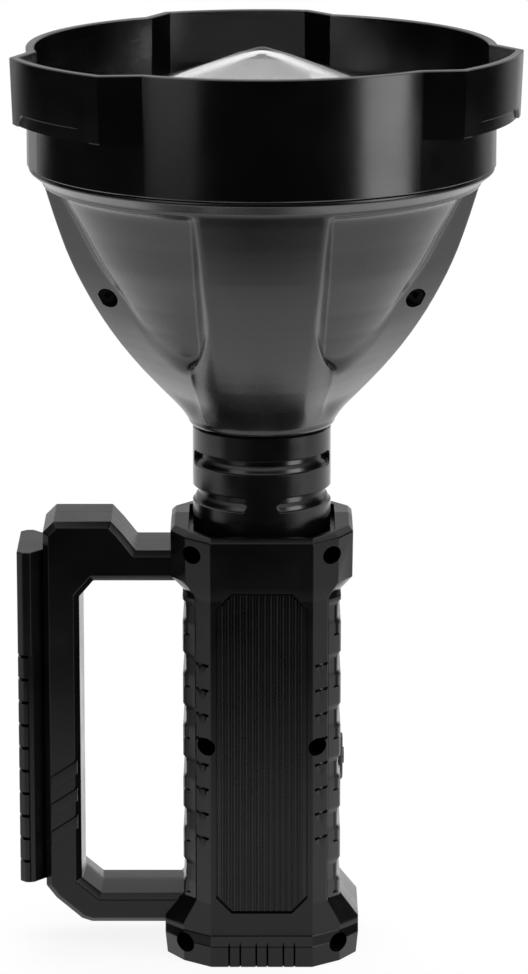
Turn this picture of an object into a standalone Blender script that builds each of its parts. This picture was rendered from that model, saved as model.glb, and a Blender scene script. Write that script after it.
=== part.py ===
"""Hand-held rechargeable searchlight with a D-shaped side handle, standing on its base with the head up.

The origin is on the torch axis at the underside of the base. The head points along +Z, the ribbed grip
panel faces -Y and the handle is at -X. Lengths are in metres.
"""
import math

import bmesh
import bpy
from mathutils import Vector

MM = 0.001

# Fits that every piece shares
gap = 0.3 * MM
overrun = 6.0 * MM
split_y = 1.0 * MM
round_steps = 60
inner_steps = 40
small_steps = 12
end_face_share = 0.9

# Bezel: a round band with three bumper lobes and an inner shoulder that holds the lens
bezel_height = 37.4 * MM
bezel_radius = 74.7 * MM
bezel_wall = 2.7 * MM
lobe_reach = 8.3 * MM
lobe_foot_height = 16.2 * MM
lobe_turn = math.radians(96.0)
lobe_count = 3
lobe_half_angle = math.radians(17.0)
lobe_foot_angle = math.radians(24.9)
lobe_relief_angle = math.radians(13.5)
lobe_relief_height = 3.9 * MM
lobe_relief_depth = 1.7 * MM
shoulder_inset = 8.7 * MM
shoulder_thickness = 3.4 * MM
band_arc_steps = 14
lobe_arc_steps = 8

# Bell: two moulded halves, with a spigot inside the bezel and a floor that grips the neck
bell_lip_height = 1.2 * MM
bell_lip_inset = 0.6 * MM
bell_lip_chamfer = 3.3 * MM
bell_mouth_inset = 4.5 * MM
bell_height = 78.1 * MM
bell_spigot_clearance = 0.5 * MM
bell_spigot_wall = 2.8 * MM
bell_spigot_height = 8.4 * MM
bell_wall = 2.2 * MM
bell_ledge_inset = 8.0 * MM
bell_profile_shares = ((0.900, 0.967), (0.800, 0.932), (0.700, 0.893), (0.600, 0.845), (0.500, 0.787),
                       (0.400, 0.720), (0.300, 0.641), (0.200, 0.548), (0.120, 0.463), (0.060, 0.397))
collar_lip_rise = 2.2 * MM
collar_lip_radius = 23.8 * MM
collar_bottom = 174.5 * MM
bell_floor_thickness = 3.8 * MM
flute_top_drop = 1.8 * MM
flute_bottom_share = 0.2855
flute_inner_top = 19.5 * MM
flute_inner_bottom = 18.0 * MM
flute_corner = 6.0 * MM
flute_corner_share = 0.33
flute_depth_shares = ((0.0, 0.96, 1.30), (0.14, 0.93, 1.16), (0.32, 0.91, 1.10), (0.55, 0.90, 1.055),
                      (0.80, 0.91, 1.03), (1.0, 0.925, 1.018))
cavity_share = 0.90

# Screws of the bell and of the body, all driven along Y from the front
hole_radius = 2.9 * MM
screw_head_radius = 2.5 * MM
screw_head_height = 2.2 * MM
screw_shank_radius = 1.4 * MM
screw_socket_radius = 1.1 * MM
screw_socket_depth = 1.2 * MM
head_seat_y = -6.0 * MM
pilot_depth = 9.0 * MM
bell_screw_inset = 21.3 * MM
bell_screw_share = 0.5314
bell_boss_radius = 4.4 * MM
body_boss_radius = 3.8 * MM

# Neck: the turned aluminium heat sink between bell and body
neck_radius = 22.3 * MM
neck_spigot_radius = 15.0 * MM
neck_flange_radius = 17.4 * MM
neck_flange_thickness = 3.0 * MM
neck_bore_radius = 4.0 * MM
neck_throat_radius = 17.5 * MM
neck_disc_radius = 20.6 * MM
neck_disc_thickness = 3.4 * MM
slot_depth = 2.0 * MM
upper_slot_drop = 12.5 * MM
upper_slot_height = 4.6 * MM
upper_slot_angle = math.radians(78.0)
lower_slot_drop = 24.8 * MM
lower_slot_height = 4.8 * MM
lower_slot_angle = math.radians(78.0)
neck_groove_depth = 0.6 * MM
neck_groove_height = 1.2 * MM
neck_groove_drop = 14.9 * MM

# Light engine and optics
emitter_board_radius = 13.5 * MM
emitter_board_thickness = 1.6 * MM
led_width = 7.0 * MM
led_height = 1.2 * MM
spacer_radius = 11.0 * MM
spacer_bore = 5.6 * MM
spacer_height = 2.6 * MM
reflector_throat_radius = 9.6 * MM
reflector_wall = 1.2 * MM
reflector_clearance = 0.6 * MM
reflector_lip_thickness = 1.5 * MM
reflector_curve_steps = 9
reflector_curve_power = 1.6
gasket_thickness = 1.2 * MM
gasket_width = 3.6 * MM
lens_edge_thickness = 2.5 * MM
lens_clearance = 2.4 * MM
lens_wall = 3.0 * MM
lens_cone_share = 0.353
lens_tip_radius = 7.0 * MM
lens_apex_share = 0.72
lens_round_share = 0.45
lens_round_drop_share = 0.12

# Body: two moulded halves, each with its half of the D handle
front_facet = 16.4 * MM
body_depth = 28.5 * MM
body_facet_x = 21.3 * MM
body_facet_y = 23.6 * MM
body_width = 23.0 * MM
body_side_y = 13.0 * MM
base_width = 31.6 * MM
base_foot_width = 31.0 * MM
base_depth = 31.4 * MM
base_facet_x = 25.4 * MM
base_facet_y = 24.6 * MM
base_side_y = 16.0 * MM
base_face_height = 6.9 * MM
base_bevel = 2.7 * MM
base_side_top = 12.0 * MM
base_flare_top = 20.6 * MM
shelf_width = 25.2 * MM
flange_width = 29.5 * MM
flange_depth = 29.2 * MM
flange_facet_x = 24.6 * MM
flange_facet_y = 22.0 * MM
flange_side_y = 14.5 * MM
flange_low = 121.8 * MM
flange_high = 126.9 * MM
flange_bevel = 1.5 * MM
body_top = 144.3 * MM
shell_draft = math.tan(math.radians(2.9))
pocket_half = 23.6 * MM
pocket_chamfer = 8.5 * MM
pocket_depth = 4.0 * MM
top_wall = 3.0 * MM
floor_wall = 2.4 * MM
side_wall = 1.8 * MM
face_wall = 3.0 * MM
cavity_facet_x = 17.8 * MM
cavity_facet_y = 21.8 * MM
top_screw_x = 22.45 * MM
top_screw_z = 136.4 * MM
middle_screw_x = 17.9 * MM
middle_screw_z = 73.4 * MM
bottom_screw_x = 24.9 * MM
bottom_screw_z = 6.0 * MM
base_rib_width = 3.6 * MM
base_rib_pitch = 8.8 * MM
base_rib_count = 3
base_rib_groove = 0.5 * MM
notch_count = 8
notch_top = 101.0 * MM
notch_pitch = 8.3 * MM
notch_height = 5.4 * MM
notch_width = 3.6 * MM
notch_depth = 1.3 * MM

# Ribbed grip panels on the front and rear faces
panel_half_width = 14.5 * MM
panel_half_end = 9.6 * MM
panel_top = 124.5 * MM
panel_bottom = 17.7 * MM
panel_corner_height = 5.2 * MM
panel_recess = 1.5 * MM
panel_base = 0.7 * MM
rib_height = 0.5 * MM
rib_pitch = 0.98 * MM
rib_flat_share = 0.45
rear_panel_bottom = 44.0 * MM

# Side grips with a row of bulges, the first and the last cut by the grip's ends
side_grip_bottom = 20.8 * MM
side_grip_top = 121.4 * MM
side_grip_valley = 24.7 * MM
side_grip_bulge = 0.8 * MM
side_grip_edge_y = 21.6 * MM
side_grip_edge = 0.8 * MM
bulge_count = 7
bulge_pitch = 17.5 * MM
bulge_first = 121.0 * MM
bulge_half_length = 3.6 * MM
bulge_ramp = 2.0 * MM
bulge_half_depth = 12.0 * MM

# Handle, whose grip stands inside the side lamp
handle_half_depth = 13.8 * MM
handle_chamfer = 1.9 * MM
strip_outer = 79.0 * MM
strip_thickness = 8.4 * MM
handle_thickness = 11.6 * MM
handle_end = 24.2 * MM
upper_arm_bottom = 124.8 * MM
upper_arm_top = 134.9 * MM
lower_arm_bottom = 9.0 * MM
lower_arm_top = 18.9 * MM
hump_top = 144.5 * MM
hump_corner = 3.6 * MM
hump_overhang = 14.0 * MM
hump_ramp_length = 4.0 * MM
hump_ramp_top = 139.6 * MM
opening_corner_x = 4.6 * MM
opening_corner_z = 5.3 * MM
opening_ease = 1.77 * MM
heel_width = 14.9 * MM
heel_height = 12.5 * MM
heel_bend_share = 0.22
heel_slope_share = 1.3
heel_foot_share = 0.33
heel_channel_share = 0.8
handle_wall = 2.6 * MM
bar_count = 3
bar_pitch = 9.3 * MM
bar_first = 36.0 * MM
bar_rise = 8.0 * MM
bar_thickness = 4.6 * MM
bar_height = 0.6 * MM

# Side lamp on the back of the handle
strip_shoulder_depth = 4.4 * MM
strip_half_depth = 15.4 * MM
strip_neck_half = 10.4 * MM
strip_bottom = 23.5 * MM
strip_top = 134.9 * MM
tooth_count = 10
tooth_pitch = 7.7 * MM
tooth_top = 100.1 * MM
tooth_slot = 1.1 * MM
tooth_depth = 3.2 * MM
tooth_inner = 11.2 * MM
tongue_half = 2.4 * MM
tongue_head_half = 4.6 * MM
tongue_head_thickness = 1.4 * MM
tongue_bottom = 34.0 * MM
tongue_top = 116.0 * MM
lamp_half_width = 8.6 * MM
lamp_bottom = 36.0 * MM
lamp_top = 126.0 * MM
lamp_board_thickness = 1.2 * MM
lamp_diffuser_thickness = 1.5 * MM

# Power button and its switch
button_centre_z = 62.2 * MM
button_half_height = 7.9 * MM
button_half_width = 4.0 * MM
button_face = 26.5 * MM
button_flange = 0.7 * MM
button_flange_thickness = 0.8 * MM
button_pocket_wall = 1.1 * MM
button_travel = 0.7 * MM
button_clearance = 0.4 * MM
button_end_steps = 8
stem_radius = 1.6 * MM
stem_reach = 0.7 * MM
switch_gap = 0.9 * MM
switch_size = 5.8 * MM
switch_height = 1.1 * MM
switch_board_thickness = 0.8 * MM
switch_board_half_height = 7.0 * MM
switch_board_half_width = 8.0 * MM
board_post_radius = 1.0 * MM
board_post_inset = 1.3 * MM

# Charge port and its rubber cover on the rear face
cover_hinge_z = 22.6 * MM
cover_height = 15.4 * MM
cover_half_width = 8.0 * MM
cover_thickness = 1.3 * MM
cover_side_gap = 0.4 * MM
cover_hinge_room = 1.7 * MM
port_half_width = 4.6 * MM
port_half_height = 1.8 * MM
port_flange_half_width = 8.0 * MM
port_flange_half_height = 5.0 * MM
port_flange_thickness = 1.2 * MM
port_body_depth = 4.4 * MM
port_bay = 1.1 * MM
port_bay_depth = 3.4 * MM

# Battery pack and driver
cell_radius = 9.2 * MM
cell_length = 65.0 * MM
cell_spacing = 0.4 * MM
cell_shift_x = -2.0 * MM
cell_cap_radius = 3.4 * MM
cell_cap_height = 0.9 * MM
tray_thickness = 1.3 * MM
tray_half = 17.4 * MM
top_plate_half_x = 12.6 * MM
top_plate_half_y = 17.0 * MM
top_plate_thickness = 1.6 * MM
driver_half_width = 16.0 * MM
driver_bottom = 82.0 * MM
driver_top = 118.0 * MM
driver_thickness = 1.6 * MM
driver_standoff = 5.0 * MM
driver_post_radius = 2.4 * MM
driver_post_inset = 3.6 * MM
coil_half = 5.0 * MM
coil_height = 5.5 * MM
chip_half = 3.2 * MM
chip_height = 1.6 * MM
chip_place_share = 0.6

# Values that follow from the ones above
lobe_radius = bezel_radius + lobe_reach
shoulder_radius = bezel_radius - shoulder_inset
bell_lip_radius = bezel_radius - bell_lip_inset
bell_mouth_radius = bezel_radius - bell_mouth_inset
bell_ledge_radius = bell_mouth_radius - bell_ledge_inset
bell_screw_x = bell_mouth_radius - bell_screw_inset
collar_lip_height = collar_bottom + collar_lip_rise
bell_mouth = collar_lip_height + bell_height
bell_lip_top = bell_mouth + bell_lip_chamfer + bell_lip_height
bezel_bottom = bell_lip_top + gap
lobe_bottom = bezel_bottom + lobe_foot_height
rim_top = bezel_bottom + bezel_height
bell_spigot_radius = bezel_radius - bezel_wall - bell_spigot_clearance
bell_spigot_top = bell_lip_top + bell_spigot_height
bell_floor_top = collar_bottom + bell_floor_thickness
reflector_lip_bottom = bell_spigot_top + gap
reflector_lip_top = reflector_lip_bottom + reflector_lip_thickness
gasket_bottom = reflector_lip_top + gap
lens_bottom = gasket_bottom + gasket_thickness + gap
lens_edge_top = lens_bottom + lens_edge_thickness
shoulder_bottom = lens_edge_top + gap
shoulder_top = shoulder_bottom + shoulder_thickness
lens_radius = bezel_radius - bezel_wall - lens_clearance
neck_shoulder = collar_bottom - gap
upper_slot_bottom = collar_bottom - upper_slot_drop
lower_slot_bottom = collar_bottom - lower_slot_drop
neck_groove_top = collar_bottom - neck_groove_drop
neck_disc_bottom = bell_floor_top + gap
neck_disc_top = neck_disc_bottom + neck_disc_thickness
pocket_floor = body_top - pocket_depth
neck_bottom = pocket_floor + gap
neck_flange_top = pocket_floor - top_wall - gap
emitter_board_bottom = neck_disc_top + gap
emitter_board_top = emitter_board_bottom + emitter_board_thickness
spacer_bottom = emitter_board_top + gap
spacer_top = spacer_bottom + spacer_height
reflector_throat = spacer_top + gap
cavity_width = body_width - side_wall
cavity_depth = body_depth - face_wall
panel_floor = body_depth - panel_recess
front_limit = split_y - gap / 2
rear_limit = split_y + gap / 2
cell_bottom = floor_wall + gap + tray_thickness + gap
cell_top = cell_bottom + cell_length
flute_bottom = collar_lip_height + bell_height * flute_bottom_share
bell_screw_z = collar_lip_height + bell_height * bell_screw_share
handle_outer = strip_outer - strip_thickness
handle_inner = handle_outer - handle_thickness
hump_end = handle_inner - hump_overhang
hump_ramp_end = hump_end - hump_ramp_length
strip_shoulder = strip_outer - strip_shoulder_depth
reach = lobe_radius * 2


def collection(name):
    """A collection of that name under the scene's own."""
    made = bpy.data.collections.new(name)
    bpy.context.scene.collection.children.link(made)
    return made


for leftover in list(bpy.data.objects):
    bpy.data.objects.remove(leftover, do_unlink=True)
parts = collection("searchlight")
cutters = collection("cutters")


def finish(name, colour, roughness, metallic=0.0):
    """A Principled material of one colour."""
    made = bpy.data.materials.new(name)
    made.use_nodes = True
    shader = made.node_tree.nodes["Principled BSDF"]
    shader.inputs["Base Color"].default_value = (*colour, 1.0)
    shader.inputs["Roughness"].default_value = roughness
    shader.inputs["Metallic"].default_value = metallic
    return made


def add_part(name, mesh, material):
    """A node of the model: an object with its own material."""
    made = bpy.data.objects.new(name, mesh)
    mesh.materials.append(material)
    parts.objects.link(made)
    return made


def add_cutter(name, mesh):
    """A guide solid for Boolean modifiers, left out of the model itself."""
    made = bpy.data.objects.new(name, mesh)
    made.hide_render = True
    made.display_type = 'WIRE'
    cutters.objects.link(made)
    return made


def combine(target, other, operation):
    """A Boolean modifier on target."""
    modifier = target.modifiers.new(other.name, 'BOOLEAN')
    modifier.operation = operation
    modifier.solver = 'EXACT'
    modifier.object = other


def cut(target, *others):
    for other in others:
        combine(target, other, 'DIFFERENCE')


def fuse(target, *others):
    for other in others:
        combine(target, other, 'UNION')


def to_mesh(shape, name):
    """The mesh of a finished bmesh, with its faces pointing out."""
    bmesh.ops.recalc_face_normals(shape, faces=shape.faces)
    mesh = bpy.data.meshes.new(name)
    shape.to_mesh(mesh)
    shape.free()
    return mesh


def on_axis(axis, first, second, along):
    """A point from two outline coordinates and a place along the axis that the outline is drawn across."""
    if axis == 'X':
        return Vector((along, first, second))
    if axis == 'Y':
        return Vector((first, along, second))
    return Vector((first, second, along))


def prism(name, outline, low, high, axis, chamfer=0.0):
    """An outline extruded along an axis; a chamfer takes the edge off the outline at both ends."""
    shape = bmesh.new()
    face = shape.faces.new([shape.verts.new(on_axis(axis, u, v, low)) for u, v in outline])
    grown = bmesh.ops.extrude_face_region(shape, geom=[face])
    moved = [item for item in grown["geom"] if isinstance(item, bmesh.types.BMVert)]
    bmesh.ops.translate(shape, verts=moved, vec=on_axis(axis, 0.0, 0.0, high - low))
    if chamfer:
        direction = on_axis(axis, 0.0, 0.0, 1.0)
        shape.normal_update()
        ends = [item for item in shape.faces if abs(item.normal.dot(direction)) > end_face_share]
        edges = {edge for end in ends for edge in end.edges}
        bmesh.ops.bevel(shape, geom=list(edges), offset=chamfer, segments=1, affect='EDGES', profile=0.5)
    return to_mesh(shape, name)


def box(name, low, high):
    """A box between two corners."""
    outline = ((low[0], low[1]), (high[0], low[1]), (high[0], high[1]), (low[0], high[1]))
    return prism(name, outline, low[2], high[2], 'Z')


def disc(radius, steps, u=0.0, v=0.0):
    """The outline of a circle."""
    return [(u + radius * math.cos(math.tau * step / steps), v + radius * math.sin(math.tau * step / steps))
            for step in range(steps)]


def stack(name, rings):
    """A solid through rings of points, each ring with as many points as the next."""
    shape = bmesh.new()
    rows = [[shape.verts.new(point) for point in ring] for ring in rings]
    for lower, upper in zip(rows, rows[1:]):
        for index in range(len(lower)):
            after = (index + 1) % len(lower)
            shape.faces.new((lower[index], lower[after], upper[after], upper[index]))
    shape.faces.new(rows[0])
    shape.faces.new(rows[-1])
    bmesh.ops.remove_doubles(shape, verts=shape.verts, dist=gap / 100)
    return to_mesh(shape, name)


def turned(name, profile, steps, closed=True):
    """The mesh of a profile at +X, running down its outer side, which a Screw modifier turns about Z."""
    count = len(profile)
    edges = [(index, index + 1) for index in range(count - 1)]
    if closed:
        edges.append((count - 1, 0))
    mesh = bpy.data.meshes.new(name)
    mesh.from_pydata([(radius, 0.0, height) for radius, height in profile], edges, [])
    mesh["steps"] = steps
    return mesh


def turn(target):
    """The Screw modifier of a turned profile."""
    screw = target.modifiers.new("turn", 'SCREW')
    screw.axis = 'Z'
    screw.angle = math.tau
    screw.steps = target.data["steps"]
    screw.render_steps = target.data["steps"]
    screw.use_merge_vertices = True
    screw.merge_threshold = gap / 100
    screw.use_smooth_shade = True
    return target


def ring_sector(inner, outer, centre, half_angle, steps):
    """The plan of a piece of a ring."""
    angles = [centre - half_angle + 2 * half_angle * step / steps for step in range(steps + 1)]
    far = [(outer * math.cos(angle), outer * math.sin(angle)) for angle in angles]
    near = [(inner * math.cos(angle), inner * math.sin(angle)) for angle in reversed(angles)]
    return far + near


def polar(radius, angle):
    return radius * math.cos(angle), radius * math.sin(angle)


def flank_corners(inset):
    """Angles of a lobe's two corners from its centre line, for walls moved in by inset."""
    top = Vector(polar(lobe_radius, lobe_half_angle))
    foot = Vector(polar(bezel_radius, lobe_foot_angle))
    along = (foot - top).normalized()
    start = top - Vector((along.y, -along.x)) * inset
    angles = []
    for radius in (lobe_radius - inset, bezel_radius - inset):
        half = start.dot(along)
        spread = math.sqrt(half * half - start.length_squared + radius * radius)
        ends = [start + along * (spread - half), start - along * (spread + half)]
        nearest = min(ends, key=lambda end: (end - top).length if radius > bezel_radius - inset
                      else (end - foot).length)
        angles.append(math.atan2(nearest.y, nearest.x))
    return angles


def lobed_outline(inset, reach_out=True):
    """The bezel's plan, with its lobes out or drawn in to the round band."""
    top_angle, foot_angle = flank_corners(inset)
    band = bezel_radius - inset
    tip = lobe_radius - inset if reach_out else band
    outline = []
    for lobe in range(lobe_count):
        centre = lobe_turn + math.tau * lobe / lobe_count
        for step in range(lobe_arc_steps + 1):
            outline.append(polar(tip, centre - top_angle + 2 * top_angle * step / lobe_arc_steps))
        spread = math.tau / lobe_count - 2 * foot_angle
        for step in range(band_arc_steps + 1):
            outline.append(polar(band, centre + foot_angle + spread * step / band_arc_steps))
    return outline


def raised(outline, height):
    return [(x, y, height) for x, y in outline]


def make_bezel():
    """The bezel ring: band, lobes with a relief under each, and the shoulder over the lens."""
    band = lobed_outline(0.0, reach_out=False)
    lobes = lobed_outline(0.0)
    ring = add_part("bezel_ring", stack("bezel_ring", (
        raised(band, bezel_bottom), raised(band, lobe_bottom), raised(lobes, lobe_bottom),
        raised(lobes, rim_top))), finish("gloss black plastic", (0.011, 0.011, 0.012), 0.28))
    bowl = add_cutter("bezel_bowl", prism("bezel_bowl", lobed_outline(bezel_wall), shoulder_top,
                                          rim_top + overrun, 'Z'))
    throat = add_cutter("bezel_throat", prism("bezel_throat", disc(shoulder_radius, round_steps),
                                              bezel_bottom - overrun, rim_top, 'Z'))
    socket = add_cutter("bezel_socket", prism(
        "bezel_socket", disc(bezel_radius - bezel_wall, round_steps), bezel_bottom - overrun,
        shoulder_bottom, 'Z'))
    cut(ring, bowl, throat, socket)
    for lobe in range(lobe_count):
        centre = lobe_turn + math.tau * lobe / lobe_count
        plan = ring_sector(lobe_radius - lobe_relief_depth, lobe_radius + overrun, centre,
                           lobe_relief_angle, lobe_arc_steps)
        cut(ring, add_cutter(f"lobe_relief_{lobe + 1}", prism(
            f"lobe_relief_{lobe + 1}", plan, lobe_bottom - overrun, lobe_bottom + lobe_relief_height, 'Z')))


def bell_curve():
    """The bell's outer side from its mouth down to the collar lip."""
    middle = [(bell_mouth_radius * radius, collar_lip_height + bell_height * share)
              for share, radius in bell_profile_shares]
    return [(bell_mouth_radius, bell_mouth)] + middle + [(collar_lip_radius, collar_lip_height)]


def bell_inside():
    """The bell's inner side from its mouth down to above its floor."""
    return [(bell_ledge_radius, bell_mouth)] + [
        (radius * cavity_share - bell_wall, height) for radius, height in bell_curve()[1:]
        if height > bell_floor_top + overrun]


def along_curve(curve, height):
    """The radius at a height on a curve that runs downwards."""
    above = min((point for point in curve if point[1] >= height - gap), key=lambda point: point[1])
    below = max((point for point in curve if point[1] < height - gap), key=lambda point: point[1])
    blend = (height - below[1]) / (above[1] - below[1])
    return below[0] + (above[0] - below[0]) * blend


def flute_floor():
    """The oval solid that the flutes are cut down to: shallower towards the sides than at the front."""
    rings = []
    curve = bell_curve()
    for share, depth_share, width_share in flute_depth_shares:
        height = flute_bottom + (bell_mouth - flute_bottom) * share
        radius = along_curve(curve, height)
        rings.append([(radius * width_share * math.cos(math.tau * step / round_steps),
                       radius * depth_share * math.sin(math.tau * step / round_steps), height)
                      for step in range(round_steps)])
    lowest = [(x, y, flute_bottom - overrun) for x, y, _ in rings[0]]
    highest = [(x, y, bell_mouth + overrun) for x, y, _ in rings[-1]]
    return add_cutter("flute_floor", stack("flute_floor", [lowest] + rings + [highest]))


def flute_cutter(name, side_x, side_y, floor):
    """One flute, drawn along Y and cut down to the oval floor."""
    top = bell_mouth - flute_top_drop
    outline = [(side_x * flute_inner_top, top), (side_x * flute_inner_bottom, flute_bottom + flute_corner),
               (side_x * (flute_inner_bottom + flute_corner * flute_corner_share),
                flute_bottom + flute_corner * flute_corner_share),
               (side_x * (flute_inner_bottom + flute_corner), flute_bottom),
               (side_x * lobe_radius, flute_bottom), (side_x * lobe_radius, top)]
    low, high = sorted((side_y * overrun, side_y * lobe_radius))
    cutter = add_cutter(name, prism(name, outline, low, high, 'Y'))
    cut(cutter, floor)
    return cutter


def make_bell():
    """The two bell halves, screwed together from the front around the neck's throat."""
    curve = bell_curve()
    spigot_inner = bell_spigot_radius - bell_spigot_wall
    outer = [(0.0, bell_spigot_top), (bell_spigot_radius, bell_spigot_top),
             (bell_spigot_radius, bell_lip_top), (bell_lip_radius, bell_lip_top),
             (bell_lip_radius, bell_lip_top - bell_lip_height)]
    outer += curve + [(neck_radius, collar_bottom), (0.0, collar_bottom)]
    inner = [(0.0, bell_spigot_top + overrun), (spigot_inner, bell_spigot_top + overrun),
             (spigot_inner, bell_lip_top)] + bell_inside()
    last = inner[-1]
    inner += [(max(last[0] - (last[1] - bell_floor_top), neck_disc_radius + gap), bell_floor_top),
              (0.0, bell_floor_top)]
    bosses = [add_cutter(f"bell_boss_{label}", prism(
        f"bell_boss_{label}", disc(bell_boss_radius, small_steps, side * bell_screw_x, bell_screw_z),
        -bezel_radius, bezel_radius, 'Y')) for label, side in (("left", -1), ("right", 1))]
    cavity = turn(add_cutter("bell_cavity", turned("bell_cavity", inner, round_steps, closed=False)))
    cut(cavity, *bosses)
    throat = add_cutter("bell_throat", prism("bell_throat", disc(neck_throat_radius + gap, inner_steps),
                                             collar_bottom - overrun, bell_floor_top + overrun, 'Z'))
    floor = flute_floor()
    black = finish("satin black plastic", (0.035, 0.035, 0.038), 0.42)
    for name, side_y in (("bell_front_shell", -1), ("bell_rear_shell", 1)):
        shell = turn(add_part(name, turned(name, outer, round_steps, closed=False), black))
        seam = add_cutter(f"{name}_seam", seam_block(f"{name}_seam", side_y))
        cut(shell, seam, cavity, throat)
        for label, side_x in (("left", -1), ("right", 1)):
            cut(shell, flute_cutter(f"flute_{name}_{label}", side_x, side_y, floor))
            cut(shell, screw_hole(f"hole_{name}_{label}", side_x * bell_screw_x, bell_screw_z, side_y))


def seam_block(name, side_y):
    """What lies beyond the parting plane, seen from the half on side_y."""
    if side_y < 0:
        return box(name, (-reach, front_limit, -reach), (reach, reach, rim_top + reach))
    return box(name, (-reach, -reach, -reach), (reach, rear_limit, rim_top + reach))


def screw_hole(name, x, z, side_y):
    """A counterbored hole in the front half, or the pilot hole in the rear half."""
    if side_y < 0:
        profile = [(0.0, reach), (hole_radius, reach), (hole_radius, -head_seat_y),
                   (screw_shank_radius + gap, -head_seat_y), (screw_shank_radius + gap, -overrun - split_y),
                   (0.0, -overrun - split_y)]
    else:
        profile = [(0.0, overrun), (screw_shank_radius + gap, overrun),
                   (screw_shank_radius + gap, -split_y - pilot_depth), (0.0, -split_y - pilot_depth)]
    return along_y(turn(add_cutter(name, turned(name, profile, small_steps, closed=False))), x, z)


def along_y(target, x, z):
    """Turns a piece made about Z to lie along Y, its +Z end at the front."""
    target.rotation_euler = (math.pi / 2, 0.0, 0.0)
    target.location = (x, 0.0, z)
    return target


def add_screw(name, x, z, material):
    """A socket-head screw with its head on the counterbore's floor, made about Z and laid along Y."""
    seat = -head_seat_y + gap
    tip = -split_y - pilot_depth + gap
    profile = [(0.0, seat + screw_head_height - screw_socket_depth),
               (screw_socket_radius, seat + screw_head_height - screw_socket_depth),
               (screw_socket_radius, seat + screw_head_height), (screw_head_radius, seat + screw_head_height),
               (screw_head_radius, seat), (screw_shank_radius, seat), (screw_shank_radius, tip), (0.0, tip)]
    along_y(turn(add_part(name, turned(name, profile, small_steps, closed=False), material)), x, z)


def make_neck():
    """The neck, with two slots in each row, a throat for the bell and a spigot for the body."""
    profile = [(neck_bore_radius, neck_disc_top), (neck_disc_radius, neck_disc_top),
               (neck_disc_radius, neck_disc_bottom), (neck_throat_radius, neck_disc_bottom),
               (neck_throat_radius, neck_shoulder), (neck_radius, neck_shoulder),
               (neck_radius, neck_bottom), (neck_spigot_radius, neck_bottom),
               (neck_spigot_radius, neck_flange_top), (neck_flange_radius, neck_flange_top),
               (neck_flange_radius, neck_flange_top - neck_flange_thickness),
               (neck_bore_radius, neck_flange_top - neck_flange_thickness)]
    neck = turn(add_part("neck_heatsink", turned("neck_heatsink", profile, round_steps),
                         finish("black anodised aluminium", (0.016, 0.016, 0.018), 0.30, 0.85)))
    rows = (("upper", upper_slot_bottom, upper_slot_height, upper_slot_angle, math.pi / 2),
            ("lower", lower_slot_bottom, lower_slot_height, lower_slot_angle, 0.0))
    for row, low, height, half_angle, start in rows:
        for index in range(2):
            name = f"{row}_slot_{index + 1}"
            plan = ring_sector(neck_radius - slot_depth, neck_radius + overrun, start + math.pi * index,
                               half_angle, small_steps)
            cut(neck, add_cutter(name, prism(name, plan, low, low + height, 'Z')))
    groove = [(neck_radius + overrun, neck_groove_top),
              (neck_radius + overrun, neck_groove_top - neck_groove_height),
              (neck_radius - neck_groove_depth, neck_groove_top - neck_groove_height),
              (neck_radius - neck_groove_depth, neck_groove_top)]
    cut(neck, turn(add_cutter("neck_groove", turned("neck_groove", groove, round_steps))))


def reflector_radius(height):
    """The radius of the parabolic reflector at a height, clear of the bell around it."""
    rise = reflector_lip_top - reflector_throat
    spread = shoulder_radius ** 2 - reflector_throat_radius ** 2
    radius = math.sqrt(reflector_throat_radius ** 2 + spread * (height - reflector_throat) / rise)
    inside = bell_inside()
    if height < inside[-1][1] or height >= inside[0][1]:
        return radius
    return min(radius, along_curve(inside, height) - reflector_wall - reflector_clearance)


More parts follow.
